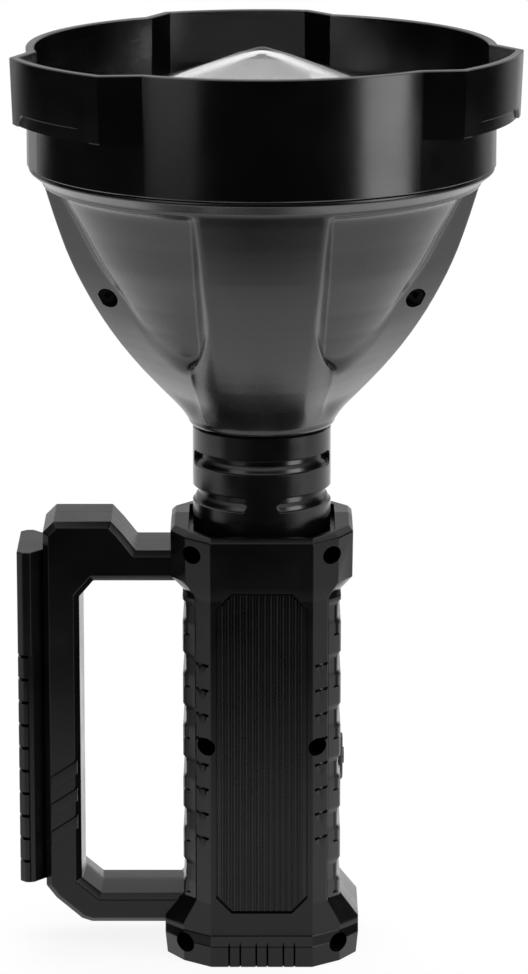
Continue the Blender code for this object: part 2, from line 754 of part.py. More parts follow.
def make_optics():
    """From the neck up: emitter board, emitter, spacer, reflector, gasket and cone lens."""
    board = prism("emitter_board", disc(emitter_board_radius, inner_steps), emitter_board_bottom,
                  emitter_board_top, 'Z')
    add_part("emitter_board", board, finish("white solder mask", (0.72, 0.72, 0.70), 0.45))
    led = box("led_emitter", (-led_width / 2, -led_width / 2, emitter_board_top + gap),
              (led_width / 2, led_width / 2, emitter_board_top + gap + led_height))
    add_part("led_emitter", led, finish("yellow phosphor", (0.85, 0.66, 0.12), 0.35))
    spacer = [(spacer_bore, spacer_top), (spacer_radius, spacer_top), (spacer_radius, spacer_bottom),
              (spacer_bore, spacer_bottom)]
    turn(add_part("emitter_spacer", turned("emitter_spacer", spacer, inner_steps),
                  finish("white nylon", (0.80, 0.80, 0.78), 0.5)))

    rise = reflector_lip_top - reflector_throat
    heights = [reflector_throat + rise * (step / reflector_curve_steps) ** reflector_curve_power
               for step in range(reflector_curve_steps + 1)]
    inside = [(reflector_radius(height), height) for height in heights]
    outside = [(radius + reflector_wall, height) for radius, height in reversed(inside[:-1])]
    outside[0] = (reflector_radius(reflector_lip_bottom) + reflector_wall, reflector_lip_bottom)
    lip = bell_spigot_radius - gap
    profile = [(lip, reflector_lip_top), (lip, reflector_lip_bottom)]
    profile += outside + inside
    turn(add_part("reflector", turned("reflector", profile, inner_steps),
                  finish("vacuum-plated mirror", (0.88, 0.88, 0.90), 0.06, 1.0)))

    ring = [(lens_radius, gasket_bottom + gasket_thickness), (lens_radius, gasket_bottom),
            (lens_radius - gasket_width, gasket_bottom),
            (lens_radius - gasket_width, gasket_bottom + gasket_thickness)]
    turn(add_part("lens_gasket", turned("lens_gasket", ring, round_steps),
                  finish("black silicone", (0.02, 0.02, 0.02), 0.7)))

    tip_height = lens_edge_top + lens_cone_share * (shoulder_radius - lens_tip_radius)
    tip_rise = lens_cone_share * lens_tip_radius
    apex = tip_height + tip_rise * lens_apex_share
    shoulder = shoulder_radius - gap
    lens = [(0.0, apex), (lens_tip_radius * lens_round_share, apex - tip_rise * lens_round_drop_share),
            (lens_tip_radius, tip_height), (shoulder, lens_edge_top), (lens_radius, lens_edge_top),
            (lens_radius, lens_bottom), (shoulder - lens_wall, lens_bottom),
            (lens_tip_radius, tip_height - lens_wall), (0.0, apex - lens_wall)]
    turn(add_part("front_lens", turned("front_lens", lens, round_steps, closed=False),
                  finish("clear polycarbonate", (0.88, 0.90, 0.92), 0.04)))


def half_plan(section, side_y):
    """Half of the body's plan: the facets of one side, closed along the parting plane."""
    width, side, facet_x, facet_y, depth = section
    edge = front_limit if side_y < 0 else rear_limit
    return [(-width, edge), (-width, side_y * side), (-facet_x, side_y * facet_y),
            (-front_facet, side_y * depth), (front_facet, side_y * depth),
            (facet_x, side_y * facet_y), (width, side_y * side), (width, edge)]


def body_levels():
    """Heights of the body with its plan there, from the foot to the top."""
    bevel = base_bevel
    foot = (base_foot_width, base_side_y, base_facet_x, base_facet_y, base_depth)
    face = (base_width, base_side_y, base_facet_x, base_facet_y, base_depth)
    ledge = (base_width, base_side_y - bevel / 2, base_facet_x, base_facet_y - bevel, base_depth - bevel)
    flare = (base_width, base_side_y - bevel / 2, base_facet_x, base_facet_y - bevel, body_depth)
    middle = (body_width, body_side_y, body_facet_x, body_facet_y, body_depth)
    shelf = (shelf_width, body_side_y, body_facet_x, body_facet_y, body_depth)
    swell = (flange_width - gap, flange_side_y, flange_facet_x, flange_facet_y, body_depth + gap)
    flange = (flange_width, flange_side_y, flange_facet_x, flange_facet_y, flange_depth)
    bevelled = (flange_width - flange_bevel, flange_side_y - flange_bevel, flange_facet_x - flange_bevel,
                flange_facet_y - flange_bevel, flange_depth - flange_bevel)
    return ((0.0, foot), (base_face_height, face), (base_face_height + bevel, ledge),
            (base_side_top, flare), (base_flare_top - gap, shelf), (base_flare_top, middle),
            (flange_low, middle), (flange_low + gap, shelf), (flange_high, swell),
            (body_top - flange_bevel, flange), (body_top, bevelled))


def body_half(name, side_y):
    """One half of the body as a solid, with the draft of its top face."""
    rings = []
    for height, section in body_levels():
        plan = half_plan(section, side_y)
        drop = shell_draft if height > flange_high else 0.0
        rings.append([(x, y, height - drop * abs(y - split_y)) for x, y in plan])
    return stack(name, rings)


def handle_outline():
    """The D handle seen from the front, open towards the body."""
    heel_x = handle_outer - heel_width
    heel_z = lower_arm_bottom + heel_height
    bend = heel_width * heel_bend_share
    return [(-handle_end, upper_arm_top), (-hump_ramp_end, upper_arm_top), (-hump_end, hump_ramp_top),
            (-hump_end, hump_top - hump_corner), (-hump_end - hump_corner, hump_top),
            (-handle_outer + hump_corner, hump_top), (-handle_outer, hump_top - hump_corner),
            (-handle_outer, heel_z), (-handle_outer + bend, heel_z - bend * heel_slope_share),
            (-heel_x - bend, lower_arm_bottom + bend * heel_foot_share), (-heel_x, lower_arm_bottom),
            (-handle_end, lower_arm_bottom), (-handle_end, lower_arm_top),
            (-handle_inner + opening_corner_x + opening_ease, lower_arm_top),
            (-handle_inner, lower_arm_top + opening_corner_z),
            (-handle_inner, upper_arm_bottom - opening_corner_z),
            (-handle_inner + opening_corner_x, upper_arm_bottom), (-handle_end, upper_arm_bottom)]


def handle_channel():
    """The wire channel through the arms and the grip of the handle, open into the body."""
    outer = handle_outer - handle_wall
    inner = handle_inner + handle_wall
    mouth = cavity_width - overrun
    return [(-mouth, upper_arm_top - handle_wall), (-outer + handle_wall, upper_arm_top - handle_wall),
            (-outer, upper_arm_top - handle_wall * 2), (-outer, lower_arm_bottom + heel_height),
            (-outer + heel_height * heel_channel_share, lower_arm_bottom + handle_wall),
            (-mouth, lower_arm_bottom + handle_wall),
            (-mouth, lower_arm_top - handle_wall), (-inner + handle_wall, lower_arm_top - handle_wall),
            (-inner, lower_arm_top + handle_wall), (-inner, upper_arm_bottom - handle_wall),
            (-inner + handle_wall, upper_arm_bottom + handle_wall), (-mouth, upper_arm_bottom + handle_wall)]


def panel_outline(bottom, grow=0.0):
    """The eight-sided grip panel seen from the front, grown by a clearance for its recess."""
    side = panel_half_width + grow
    end = panel_half_end + grow / 2
    low = bottom - grow
    high = panel_top + grow
    lower = low + panel_corner_height
    upper = high - panel_corner_height
    return [(-end, low), (end, low), (side, lower), (side, upper), (end, high), (-end, high), (-side, upper),
            (-side, lower)]


def notch_cutter(name, side_x, side_y):
    """The column of wedge notches in one angled facet, as one saw-toothed blade across the facet."""
    half = notch_width / 2
    middle_x = (front_facet + body_facet_x) / 2
    middle_y = (body_depth + body_facet_y) / 2
    slope = math.atan2(body_depth - body_facet_y, body_facet_x - front_facet)
    along = Vector((math.cos(slope), -math.sin(slope)))
    outward = Vector((math.sin(slope), math.cos(slope)))
    shape = bmesh.new()
    for index in range(notch_count):
        top = notch_top - notch_pitch * index
        rows = []
        for shift in (-half, half):
            centre = Vector((middle_x, middle_y)) + along * shift
            deep = centre - outward * notch_depth
            proud = centre + outward * notch_depth
            rows.append([shape.verts.new((side_x * x, side_y * y, z)) for (x, y), z in (
                (deep, top), (proud, top), (proud, top - notch_height * 2))])
        near, far = rows
        shape.faces.new(near)
        shape.faces.new(far)
        for index_a in range(3):
            index_b = (index_a + 1) % 3
            shape.faces.new((near[index_a], near[index_b], far[index_b], far[index_a]))
    return add_cutter(name, to_mesh(shape, name))


def pill(half_height, half_width, centre_z):
    """A slot outline with round ends, in Y and Z."""
    straight = half_height - half_width
    points = []
    for step in range(button_end_steps + 1):
        angle = math.pi * step / button_end_steps
        points.append((half_width * math.cos(angle), centre_z + straight + half_width * math.sin(angle)))
    for step in range(button_end_steps + 1):
        angle = math.pi * (1 + step / button_end_steps)
        points.append((half_width * math.cos(angle), centre_z - straight + half_width * math.sin(angle)))
    return points


def body_cavity(bosses):
    """The room inside the body, with the screw bosses left standing in it."""
    section = [(-cavity_width, -body_side_y), (-cavity_facet_x, -cavity_facet_y),
               (-front_facet + face_wall, -cavity_depth), (front_facet - face_wall, -cavity_depth),
               (cavity_facet_x, -cavity_facet_y), (cavity_width, -body_side_y),
               (cavity_width, body_side_y), (cavity_facet_x, cavity_facet_y),
               (front_facet - face_wall, cavity_depth), (-front_facet + face_wall, cavity_depth),
               (-cavity_facet_x, cavity_facet_y), (-cavity_width, body_side_y)]
    cavity = add_cutter("body_cavity", prism("body_cavity", section, floor_wall, pocket_floor - top_wall,
                                             'Z'))
    cut(cavity, *bosses)
    return cavity


def driver_posts():
    """Places of the four posts that carry the driver board."""
    return [(side * (driver_half_width - driver_post_inset), height)
            for side in (-1, 1)
            for height in (driver_bottom + driver_post_inset, driver_top - driver_post_inset)]


def switch_posts(side_y):
    """Places of the posts that carry the switch board, in the half on side_y."""
    across = side_y * (switch_board_half_width - board_post_inset)
    reach_z = switch_board_half_height - board_post_inset
    return [(across, button_centre_z - reach_z), (across, button_centre_z + reach_z)]


screw_places = {"top": (top_screw_x, top_screw_z), "middle": (middle_screw_x, middle_screw_z),
                "bottom": (bottom_screw_x, bottom_screw_z)}
pocket_inner = body_width - button_pocket_wall
flange_face = pocket_inner - gap
flange_back = flange_face - button_flange_thickness
stem_tip = flange_back - stem_reach
switch_face = stem_tip - switch_gap
switch_board_face = switch_face - switch_height
cover_floor = body_depth - cover_thickness - gap
port_z = cover_hinge_z + cover_height / 2
flange_seat = cavity_depth - gap


def make_body():
    """The front and rear shells with everything that is cut in them or stands on them."""
    bosses = []
    for label, (x, z) in screw_places.items():
        for side_label, side in (("left", -1), ("right", 1)):
            name = f"boss_{label}_{side_label}"
            bosses.append(add_cutter(name, prism(name, disc(body_boss_radius, small_steps, side * x, z),
                                                 -base_depth, base_depth, 'Y')))
    for index, (x, z) in enumerate(driver_posts()):
        name = f"driver_post_{index + 1}"
        bosses.append(add_cutter(name, prism(name, disc(driver_post_radius, small_steps, x, z),
                                             -body_depth, -cavity_depth + driver_standoff, 'Y')))
    for label, side_y in (("front", -1), ("rear", 1)):
        for index, (y, z) in enumerate(switch_posts(side_y)):
            name = f"switch_post_{label}_{index + 1}"
            bosses.append(add_cutter(name, prism(name, disc(board_post_radius, small_steps, y, z),
                                                 switch_board_face + gap, body_width, 'X')))
    cavity = body_cavity(bosses)
    flat = pocket_half - pocket_chamfer
    pocket_plan = [(-pocket_half, -flat), (-flat, -pocket_half), (flat, -pocket_half), (pocket_half, -flat),
                   (pocket_half, flat), (flat, pocket_half), (-flat, pocket_half), (-pocket_half, flat)]
    neck_pocket = add_cutter("neck_pocket", prism("neck_pocket", pocket_plan, pocket_floor,
                                                  body_top + overrun, 'Z'))
    neck_hole = add_cutter("neck_hole", prism("neck_hole", disc(neck_spigot_radius + gap, inner_steps),
                                              pocket_floor - top_wall - overrun, pocket_floor + gap, 'Z'))
    channel = add_cutter("wire_channel", prism("wire_channel", handle_channel(),
                                               -handle_half_depth + handle_wall,
                                               handle_half_depth - handle_wall, 'Y'))
    tongue_slot = add_cutter("tongue_slot", box(
        "tongue_slot", (-handle_outer - overrun, -tongue_half - gap, tongue_bottom - gap),
        (-handle_outer + handle_wall + gap, tongue_half + gap, tongue_top + gap)))
    button_hole = add_cutter("button_hole", prism(
        "button_hole", pill(button_half_height + button_clearance, button_half_width + button_clearance,
                            button_centre_z), cavity_width - overrun, button_face + overrun, 'X'))
    button_pocket = add_cutter("button_pocket", prism(
        "button_pocket", pill(button_half_height + button_flange + button_clearance,
                              button_half_width + button_flange + button_clearance, button_centre_z),
        flange_back - button_travel - gap, pocket_inner, 'X'))
    plastic = finish("textured black ABS", (0.030, 0.030, 0.032), 0.55)
    for name, side_y in (("body_front_shell", -1), ("body_rear_shell", 1)):
        shell = add_part(name, body_half(name, side_y), plastic)
        handle = add_cutter(f"{name}_handle", prism(
            f"{name}_handle", handle_outline(), -handle_half_depth, handle_half_depth, 'Y', handle_chamfer))
        cut(handle, add_cutter(f"{name}_seam", seam_block(f"{name}_seam", side_y)))
        fuse(shell, handle)
        cut(shell, cavity, channel, neck_pocket, neck_hole, tongue_slot, button_hole, button_pocket)
        for label, (x, z) in screw_places.items():
            for side_label, side in (("left", -1), ("right", 1)):
                cut(shell, screw_hole(f"hole_{name}_{label}_{side_label}", side * x, z, side_y))
        for side_label, side in (("left", -1), ("right", 1)):
            cut(shell, notch_cutter(f"notches_{name}_{side_label}", side, side_y))
        bottom = panel_bottom if side_y < 0 else rear_panel_bottom
        low, high = sorted((side_y * panel_floor, side_y * (body_depth + overrun)))
        cut(shell, add_cutter(f"{name}_recess", prism(f"{name}_recess", panel_outline(bottom, gap),
                                                      low, high, 'Y')))
        if side_y < 0:
            dress_front(shell)
        else:
            open_port(shell)


def dress_front(shell):
    """The grooves beside the three short ribs of the base, and the slanted bars on the handle."""
    for index in range(base_rib_count):
        centre = base_rib_pitch * (index - (base_rib_count - 1) / 2)
        for side in (-1, 1):
            middle = centre + side * base_rib_width / 2
            name = f"base_groove_{index + 1}_{'left' if side < 0 else 'right'}"
            cut(shell, add_cutter(name, box(
                name, (middle - base_rib_groove / 2, -base_depth - overrun, -overrun),
                (middle + base_rib_groove / 2, -base_depth + base_rib_groove,
                 base_face_height + base_bevel / 2))))
    left = -handle_outer + handle_chamfer
    right = -handle_inner - handle_chamfer / 2
    for index in range(bar_count):
        low = bar_first + bar_pitch * index
        outline = [(left, low), (right, low + bar_rise - bar_thickness / 2),
                   (right, low + bar_rise + bar_thickness / 2), (left, low + bar_thickness)]
        name = f"handle_bar_{index + 1}"
        fuse(shell, add_cutter(name, prism(name, outline, -handle_half_depth - bar_height,
                                           -handle_half_depth + handle_wall / 2, 'Y')))


def open_port(shell):
    """The shallow seat of the rubber cover and the window of the charge port."""
    half_width = cover_half_width + cover_side_gap
    seat = box("cover_seat", (-half_width, cover_floor, cover_hinge_z - cover_hinge_room),
               (half_width, body_depth + overrun, cover_hinge_z + cover_height + cover_side_gap))
    window = box("port_window", (-port_half_width - gap, 0.0, port_z - port_half_height - gap),
                 (port_half_width + gap, body_depth, port_z + port_half_height + gap))
    cut(shell, add_cutter("cover_seat", seat), add_cutter("port_window", window))


def rib_profile():
    """The face of a grip panel across its width: fine ribs between a plain strip at each side."""
    base = panel_floor + gap + panel_base
    count = int((panel_half_width * 2 - gap * 2) // rib_pitch)
    start = -rib_pitch * count / 2
    points = []
    for index in range(count):
        low = start + rib_pitch * index
        flat = rib_pitch * rib_flat_share
        points += [(low + (rib_pitch - flat) / 4, base), (low + (rib_pitch - flat) / 2, base + rib_height),
                   (low + (rib_pitch + flat) / 2, base + rib_height),
                   (low + (rib_pitch + flat) / 2 + (rib_pitch - flat) / 4, base)]
    side = panel_half_width
    floor = panel_floor + gap
    return [(-side, floor), (-side, base)] + points + [(side, base), (side, floor)]


def make_grips():
    """The ribbed panels glued into the front and rear recesses, and the bulged grips on the sides."""
    rubber = finish("ribbed black rubber", (0.012, 0.012, 0.013), 0.6)
    for name, side_y, bottom in (("front_grip_panel", -1, panel_bottom),
                                 ("rear_grip_panel", 1, rear_panel_bottom)):
        across = [(x, side_y * y) for x, y in rib_profile()]
        panel = add_part(name, prism(name, across, bottom, panel_top, 'Z'), rubber)
        low, high = sorted((side_y * (panel_floor - overrun), side_y * (body_depth + overrun)))
        frame = add_cutter(f"{name}_outline", prism(f"{name}_outline", panel_outline(bottom), low, high, 'Y'))
        combine(panel, frame, 'INTERSECT')

    side_rubber = finish("side grip rubber", (0.028, 0.028, 0.030), 0.5)
    for name, side in (("side_grip_left", -1), ("side_grip_right", 1)):
        seat_share = (side_grip_edge_y - body_side_y) / (body_facet_y - body_side_y)
        edge_x = body_width + (body_facet_x - body_width) * seat_share + gap
        plan = [(side * edge_x, -side_grip_edge_y), (side * (body_width + gap), -body_side_y),
                (side * (body_width + gap), body_side_y), (side * edge_x, side_grip_edge_y),
                (side * (edge_x + side_grip_edge), side_grip_edge_y),
                (side * side_grip_valley, bulge_half_depth), (side * side_grip_valley, -bulge_half_depth),
                (side * (edge_x + side_grip_edge), -side_grip_edge_y)]
        grip = add_part(name, prism(name, plan, side_grip_bottom, side_grip_top, 'Z'), side_rubber)
        base = side * (side_grip_valley - side_grip_bulge)
        crest = side * (side_grip_valley + side_grip_bulge)
        for index in range(bulge_count):
            middle = bulge_first - bulge_pitch * index
            foot = bulge_half_length + bulge_ramp * 2
            top = min(middle + bulge_half_length, side_grip_top)
            bottom = max(middle - bulge_half_length, side_grip_bottom)
            outline = [(base, min(middle + foot, side_grip_top)), (crest, top), (crest, bottom),
                       (base, max(middle - foot, side_grip_bottom))]
            label = f"{name}_bulge_{index + 1}"
            fuse(grip, add_cutter(label, prism(label, outline, -bulge_half_depth, bulge_half_depth, 'Y')))
        if side > 0:
            cut(grip, add_cutter("grip_button_hole", prism(
                "grip_button_hole", pill(button_half_height + button_clearance,
                                         button_half_width + button_clearance, button_centre_z),
                body_width - overrun, button_face + overrun, 'X')))


def make_button():
    """The power button, which slides in the right side, and the switch behind it."""
    button = add_part("power_button", prism(
        "power_button", pill(button_half_height, button_half_width, button_centre_z),
        flange_back, button_face, 'X'), finish("button rubber", (0.018, 0.018, 0.019), 0.45))
    flange = add_cutter("button_flange", prism(
        "button_flange", pill(button_half_height + button_flange, button_half_width + button_flange,
                              button_centre_z), flange_back, flange_face, 'X'))
    stem = add_cutter("button_stem", prism(
        "button_stem", disc(stem_radius, small_steps, 0.0, button_centre_z), stem_tip,
        flange_face, 'X'))
    fuse(button, flange, stem)
    board = add_part("switch_board", box(
        "switch_board", (switch_board_face - switch_board_thickness, -switch_board_half_width,
                         button_centre_z - switch_board_half_height),
        (switch_board_face, switch_board_half_width, button_centre_z + switch_board_half_height)),
        finish("green circuit board", (0.02, 0.10, 0.04), 0.5))
    fuse(board, add_cutter("tact_switch", box(
        "tact_switch", (switch_board_face - switch_board_thickness / 2, -switch_size / 2,
                        button_centre_z - switch_size / 2),
        (switch_face, switch_size / 2, button_centre_z + switch_size / 2))))


def make_port():
    """The charge port behind the rear face and the rubber cover that hinges along its lower edge."""
    port = add_part("charge_port", box(
        "charge_port", (-port_half_width, flange_seat - port_flange_thickness / 2, port_z - port_half_height),
        (port_half_width, cover_floor - gap, port_z + port_half_height)),
        finish("nickel-plated steel", (0.55, 0.55, 0.56), 0.3, 1.0))
    fuse(port, add_cutter("port_flange", box(
        "port_flange", (-port_flange_half_width, flange_seat - port_flange_thickness,
                        port_z - port_flange_half_height),
        (port_flange_half_width, flange_seat, port_z + port_flange_half_height))))
    fuse(port, add_cutter("port_body", box(
        "port_body", (-port_half_width, flange_seat - port_body_depth, port_z - port_flange_half_height / 2),
        (port_half_width, flange_seat - port_flange_thickness / 2, port_z + port_flange_half_height / 2))))
    bay_half = port_half_width - port_bay
    cut(port, add_cutter("port_bay", box(
        "port_bay", (-bay_half, cover_floor - port_bay_depth, port_z - port_half_height / 2),
        (bay_half, cover_floor + overrun, port_z + port_half_height / 2))))
    inner = cover_floor + gap / 2
    outer = body_depth
    chamfer = (outer - inner) / 2
    section = [(inner, cover_hinge_z + chamfer), (inner, cover_hinge_z + cover_height),
               (outer, cover_hinge_z + cover_height), (outer, cover_hinge_z),
               (inner + chamfer, cover_hinge_z)]
    cover = prism("port_cover", [(y, z - cover_hinge_z) for y, z in section], -cover_half_width,
                  cover_half_width, 'X')
    made = add_part("port_cover", cover, finish("cover rubber", (0.022, 0.022, 0.023), 0.6))
    for vertex in made.data.vertices:
        vertex.co.y -= body_depth
    made.location = (0.0, body_depth, cover_hinge_z)


def make_battery():
    """Four 18650 cells two by two, a tray under them and a contact plate over them."""
    wrap = finish("cell wrap", (0.03, 0.12, 0.32), 0.4)
    step = cell_radius + cell_spacing / 2
    index = 0
    for side_x in (-1, 1):
        for side_y in (-1, 1):
            index += 1
            name = f"battery_cell_{index}"
            can_top = cell_top - cell_cap_height
            profile = [(0.0, cell_top), (cell_cap_radius, cell_top), (cell_cap_radius, can_top),
                       (cell_radius, can_top), (cell_radius, cell_bottom), (0.0, cell_bottom)]
            cell = turn(add_part(name, turned(name, profile, small_steps * 2, closed=False), wrap))
            cell.location = (cell_shift_x + side_x * step, side_y * step, 0.0)
    fibre = finish("insulating fibre board", (0.25, 0.22, 0.16), 0.7)
    add_part("battery_tray", box(
        "battery_tray", (cell_shift_x - tray_half + gap, -tray_half, floor_wall + gap),
        (cell_shift_x + tray_half, tray_half, floor_wall + gap + tray_thickness)), fibre)
    add_part("battery_contact_plate", box(
        "battery_contact_plate", (-top_plate_half_x, -top_plate_half_y, cell_top + gap),
        (top_plate_half_x, top_plate_half_y, cell_top + gap + top_plate_thickness)), fibre)


def make_driver():
    """The driver board on its four posts, with its coil and power chips."""
    rear = -cavity_depth + driver_standoff + gap
    face = rear + driver_thickness
    board = add_part("driver_board", box(
        "driver_board", (-driver_half_width, rear, driver_bottom), (driver_half_width, face, driver_top)),
        finish("driver circuit board", (0.02, 0.10, 0.04), 0.5))
    centre_z = (driver_bottom + driver_top) / 2
    fuse(board, add_cutter("driver_coil", prism("driver_coil", disc(coil_half, small_steps, 0.0, centre_z),
                                                face - driver_thickness / 2, face + coil_height, 'Y')))
    for side in (-1, 1):
        name = f"driver_chip_{'left' if side < 0 else 'right'}"
        middle = side * driver_half_width * chip_place_share
        fuse(board, add_cutter(name, box(
            name, (middle - chip_half, face - driver_thickness / 2, centre_z - chip_half),
            (middle + chip_half, face + chip_height, centre_z + chip_half))))


def make_side_lamp():
    """The side lamp: a toothed housing held by its tongue, with a lamp board and a diffuser outside."""
    neck_x = handle_outer + gap
    head_x = handle_outer - handle_wall - gap
    plan = [(-strip_outer, -strip_half_depth + handle_chamfer),
            (-strip_outer + handle_chamfer, -strip_half_depth), (-strip_shoulder, -strip_half_depth),
            (-neck_x, -strip_neck_half), (-neck_x, strip_neck_half), (-strip_shoulder, strip_half_depth),
            (-strip_outer + handle_chamfer, strip_half_depth),
            (-strip_outer, strip_half_depth - handle_chamfer)]
    frame = add_part("side_lamp_housing", prism("side_lamp_housing", plan, strip_bottom, strip_top, 'Z'),
                     finish("side lamp housing plastic", (0.026, 0.026, 0.028), 0.5))
    tongue_plan = [(-neck_x - gap, -tongue_half), (-head_x, -tongue_half), (-head_x, -tongue_head_half),
                   (-head_x + tongue_head_thickness, -tongue_head_half),
                   (-head_x + tongue_head_thickness, tongue_head_half), (-head_x, tongue_head_half),
                   (-head_x, tongue_half), (-neck_x - gap, tongue_half)]
    fuse(frame, add_cutter("lamp_tongue", prism("lamp_tongue", tongue_plan, tongue_bottom, tongue_top, 'Z')))
    for index in range(tooth_count):
        top = tooth_top - tooth_pitch * index
        for side in (-1, 1):
            name = f"tooth_slot_{index + 1}_{'front' if side < 0 else 'rear'}"
            low, high = sorted((side * tooth_inner, side * (strip_half_depth + overrun)))
            cut(frame, add_cutter(name, box(name, (-strip_outer - overrun, low, top - tooth_slot / 2),
                                            (-strip_outer + tooth_depth, high, top + tooth_slot / 2))))
    board_face = strip_outer - lamp_diffuser_thickness - gap
    board_back = board_face - lamp_board_thickness
    cut(frame, add_cutter("lamp_recess", box(
        "lamp_recess", (-strip_outer - overrun, -lamp_half_width - gap, lamp_bottom - gap),
        (-board_back + gap, lamp_half_width + gap, lamp_top + gap))))
    add_part("side_lamp_board", box("side_lamp_board", (-board_face, -lamp_half_width, lamp_bottom),
                                    (-board_back, lamp_half_width, lamp_top)),
             finish("lamp board", (0.80, 0.74, 0.35), 0.5))
    add_part("side_lamp_diffuser", box(
        "side_lamp_diffuser", (-strip_outer, -lamp_half_width, lamp_bottom),
        (-strip_outer + lamp_diffuser_thickness, lamp_half_width, lamp_top)),
        finish("frosted diffuser", (0.80, 0.80, 0.76), 0.35))


def make_screws():
    """Two screws in the bell and six in the body."""
    steel = finish("blackened steel", (0.03, 0.03, 0.03), 0.4, 0.9)
    for side_label, side in (("left", -1), ("right", 1)):
        add_screw(f"bell_screw_{side_label}", side * bell_screw_x, bell_screw_z, steel)
        for label, (x, z) in screw_places.items():
            add_screw(f"body_screw_{label}_{side_label}", side * x, z, steel)


make_bezel()
make_bell()
make_neck()
make_optics()
make_body()
make_grips()
make_button()
make_port()
make_battery()
make_driver()
make_side_lamp()
make_screws()
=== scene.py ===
"""The looks of a hand-held searchlight: it stands on its base, head up, and its front faces -Y."""
import math

import bmesh
import bpy
from mathutils import Matrix, Vector


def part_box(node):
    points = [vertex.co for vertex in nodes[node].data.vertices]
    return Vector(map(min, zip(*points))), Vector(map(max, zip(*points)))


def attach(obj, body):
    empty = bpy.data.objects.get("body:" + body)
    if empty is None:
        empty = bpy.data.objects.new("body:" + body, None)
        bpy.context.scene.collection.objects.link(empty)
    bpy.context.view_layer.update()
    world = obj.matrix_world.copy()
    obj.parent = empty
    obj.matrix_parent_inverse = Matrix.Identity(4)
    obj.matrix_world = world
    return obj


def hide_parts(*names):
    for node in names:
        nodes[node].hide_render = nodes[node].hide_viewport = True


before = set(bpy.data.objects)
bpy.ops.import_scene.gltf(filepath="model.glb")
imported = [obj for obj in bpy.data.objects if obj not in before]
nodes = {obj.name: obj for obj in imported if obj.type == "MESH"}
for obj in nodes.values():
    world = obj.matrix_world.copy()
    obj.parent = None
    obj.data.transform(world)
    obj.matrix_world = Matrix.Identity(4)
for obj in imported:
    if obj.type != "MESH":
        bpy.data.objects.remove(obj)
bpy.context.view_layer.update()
mm = 0.001

# The camera stands 1.45 m in front of the torch and looks down on it a little, as the photograph does.
# The torch stands a few pixels left of the picture's middle, which the shift gives.
camera_place = (0.0, -1.450, 0.507)
camera_pitch = math.radians(90.0 - 13.72)
camera_focus = 170.4
camera_shift = 0.00226
camera_data = bpy.data.cameras.new("camera")
camera_data.lens = camera_focus
camera_data.sensor_width = 36.0
camera_data.shift_x = camera_shift
camera = bpy.data.objects.new("camera", camera_data)
camera.location = camera_place
camera.rotation_euler = (camera_pitch, 0.0, 0.0)
bpy.context.scene.collection.objects.link(camera)
bpy.context.scene.camera = camera
bpy.context.scene.view_settings.view_transform = 'Standard'

# White studio: a white world behind everything, and dim light of its own on the torch. What the torch's
# glossy skin sees is a dark room under a bright ceiling, a white floor and a row of white boards behind.
room_level = 0.008
ceiling_level = 1.6
ceiling_from = 0.40
ceiling_full = 0.90
white = (1.0, 1.0, 1.0, 1.0)
daylight = (0.97, 0.98, 1.0, 1.0)
paper_white = (0.86, 0.86, 0.86, 1.0)


def wire(tree, node, sources):
    """Gives each socket of a node, by name or number, another node's output or a plain level."""
    for socket, source in sources.items():
        if isinstance(source, bpy.types.NodeSocket):
            tree.links.new(source, node.inputs[socket])
        else:
            node.inputs[socket].default_value = source
    return node


def add_node(tree, kind, sources=(), operation=None):
    """A new node of a tree, wired to its sources."""
    node = tree.nodes.new('ShaderNode' + kind)
    if operation:
        node.operation = operation
    return wire(tree, node, dict(sources))


def reckon(tree, operation, *sources):
    """What a node of arithmetic puts out for its sources."""
    return add_node(tree, 'Math', enumerate(sources), operation).outputs[0]


def ramp(tree, source, start, stop, first, last, course='SMOOTHSTEP'):
    """What a source becomes: first where it is at start, last where it is at stop."""
    node = add_node(tree, 'MapRange', {"Value": source, "From Min": start, "From Max": stop,
                                       "To Min": first, "To Max": last})
    node.interpolation_type = course
    return node.outputs["Result"]


world = bpy.data.worlds.new("studio")
bpy.context.scene.world = world
world.use_nodes = True
room = world.node_tree
room.nodes.clear()
ray = add_node(room, 'LightPath').outputs
height_of = add_node(room, 'SeparateXYZ', {"Vector": add_node(room, 'TexCoord').outputs["Generated"]})
ceiling = ramp(room, height_of.outputs["Z"], ceiling_from, ceiling_full, room_level, ceiling_level)
dim_side = add_node(room, 'Background', {"Color": daylight, "Strength": ceiling})
white_side = add_node(room, 'Background', {"Color": white})
eye_ray = reckon(room, 'MAXIMUM', ray["Is Camera Ray"], ray["Is Transmission Ray"])
pick = add_node(room, 'MixShader', {"Fac": eye_ray, 1: dim_side.outputs[0], 2: white_side.outputs[0]})
add_node(room, 'OutputWorld', {"Surface": pick.outputs[0]})

shadow_near = 0.12
shadow_far = 0.40
side_near = 0.10
side_far = 0.34


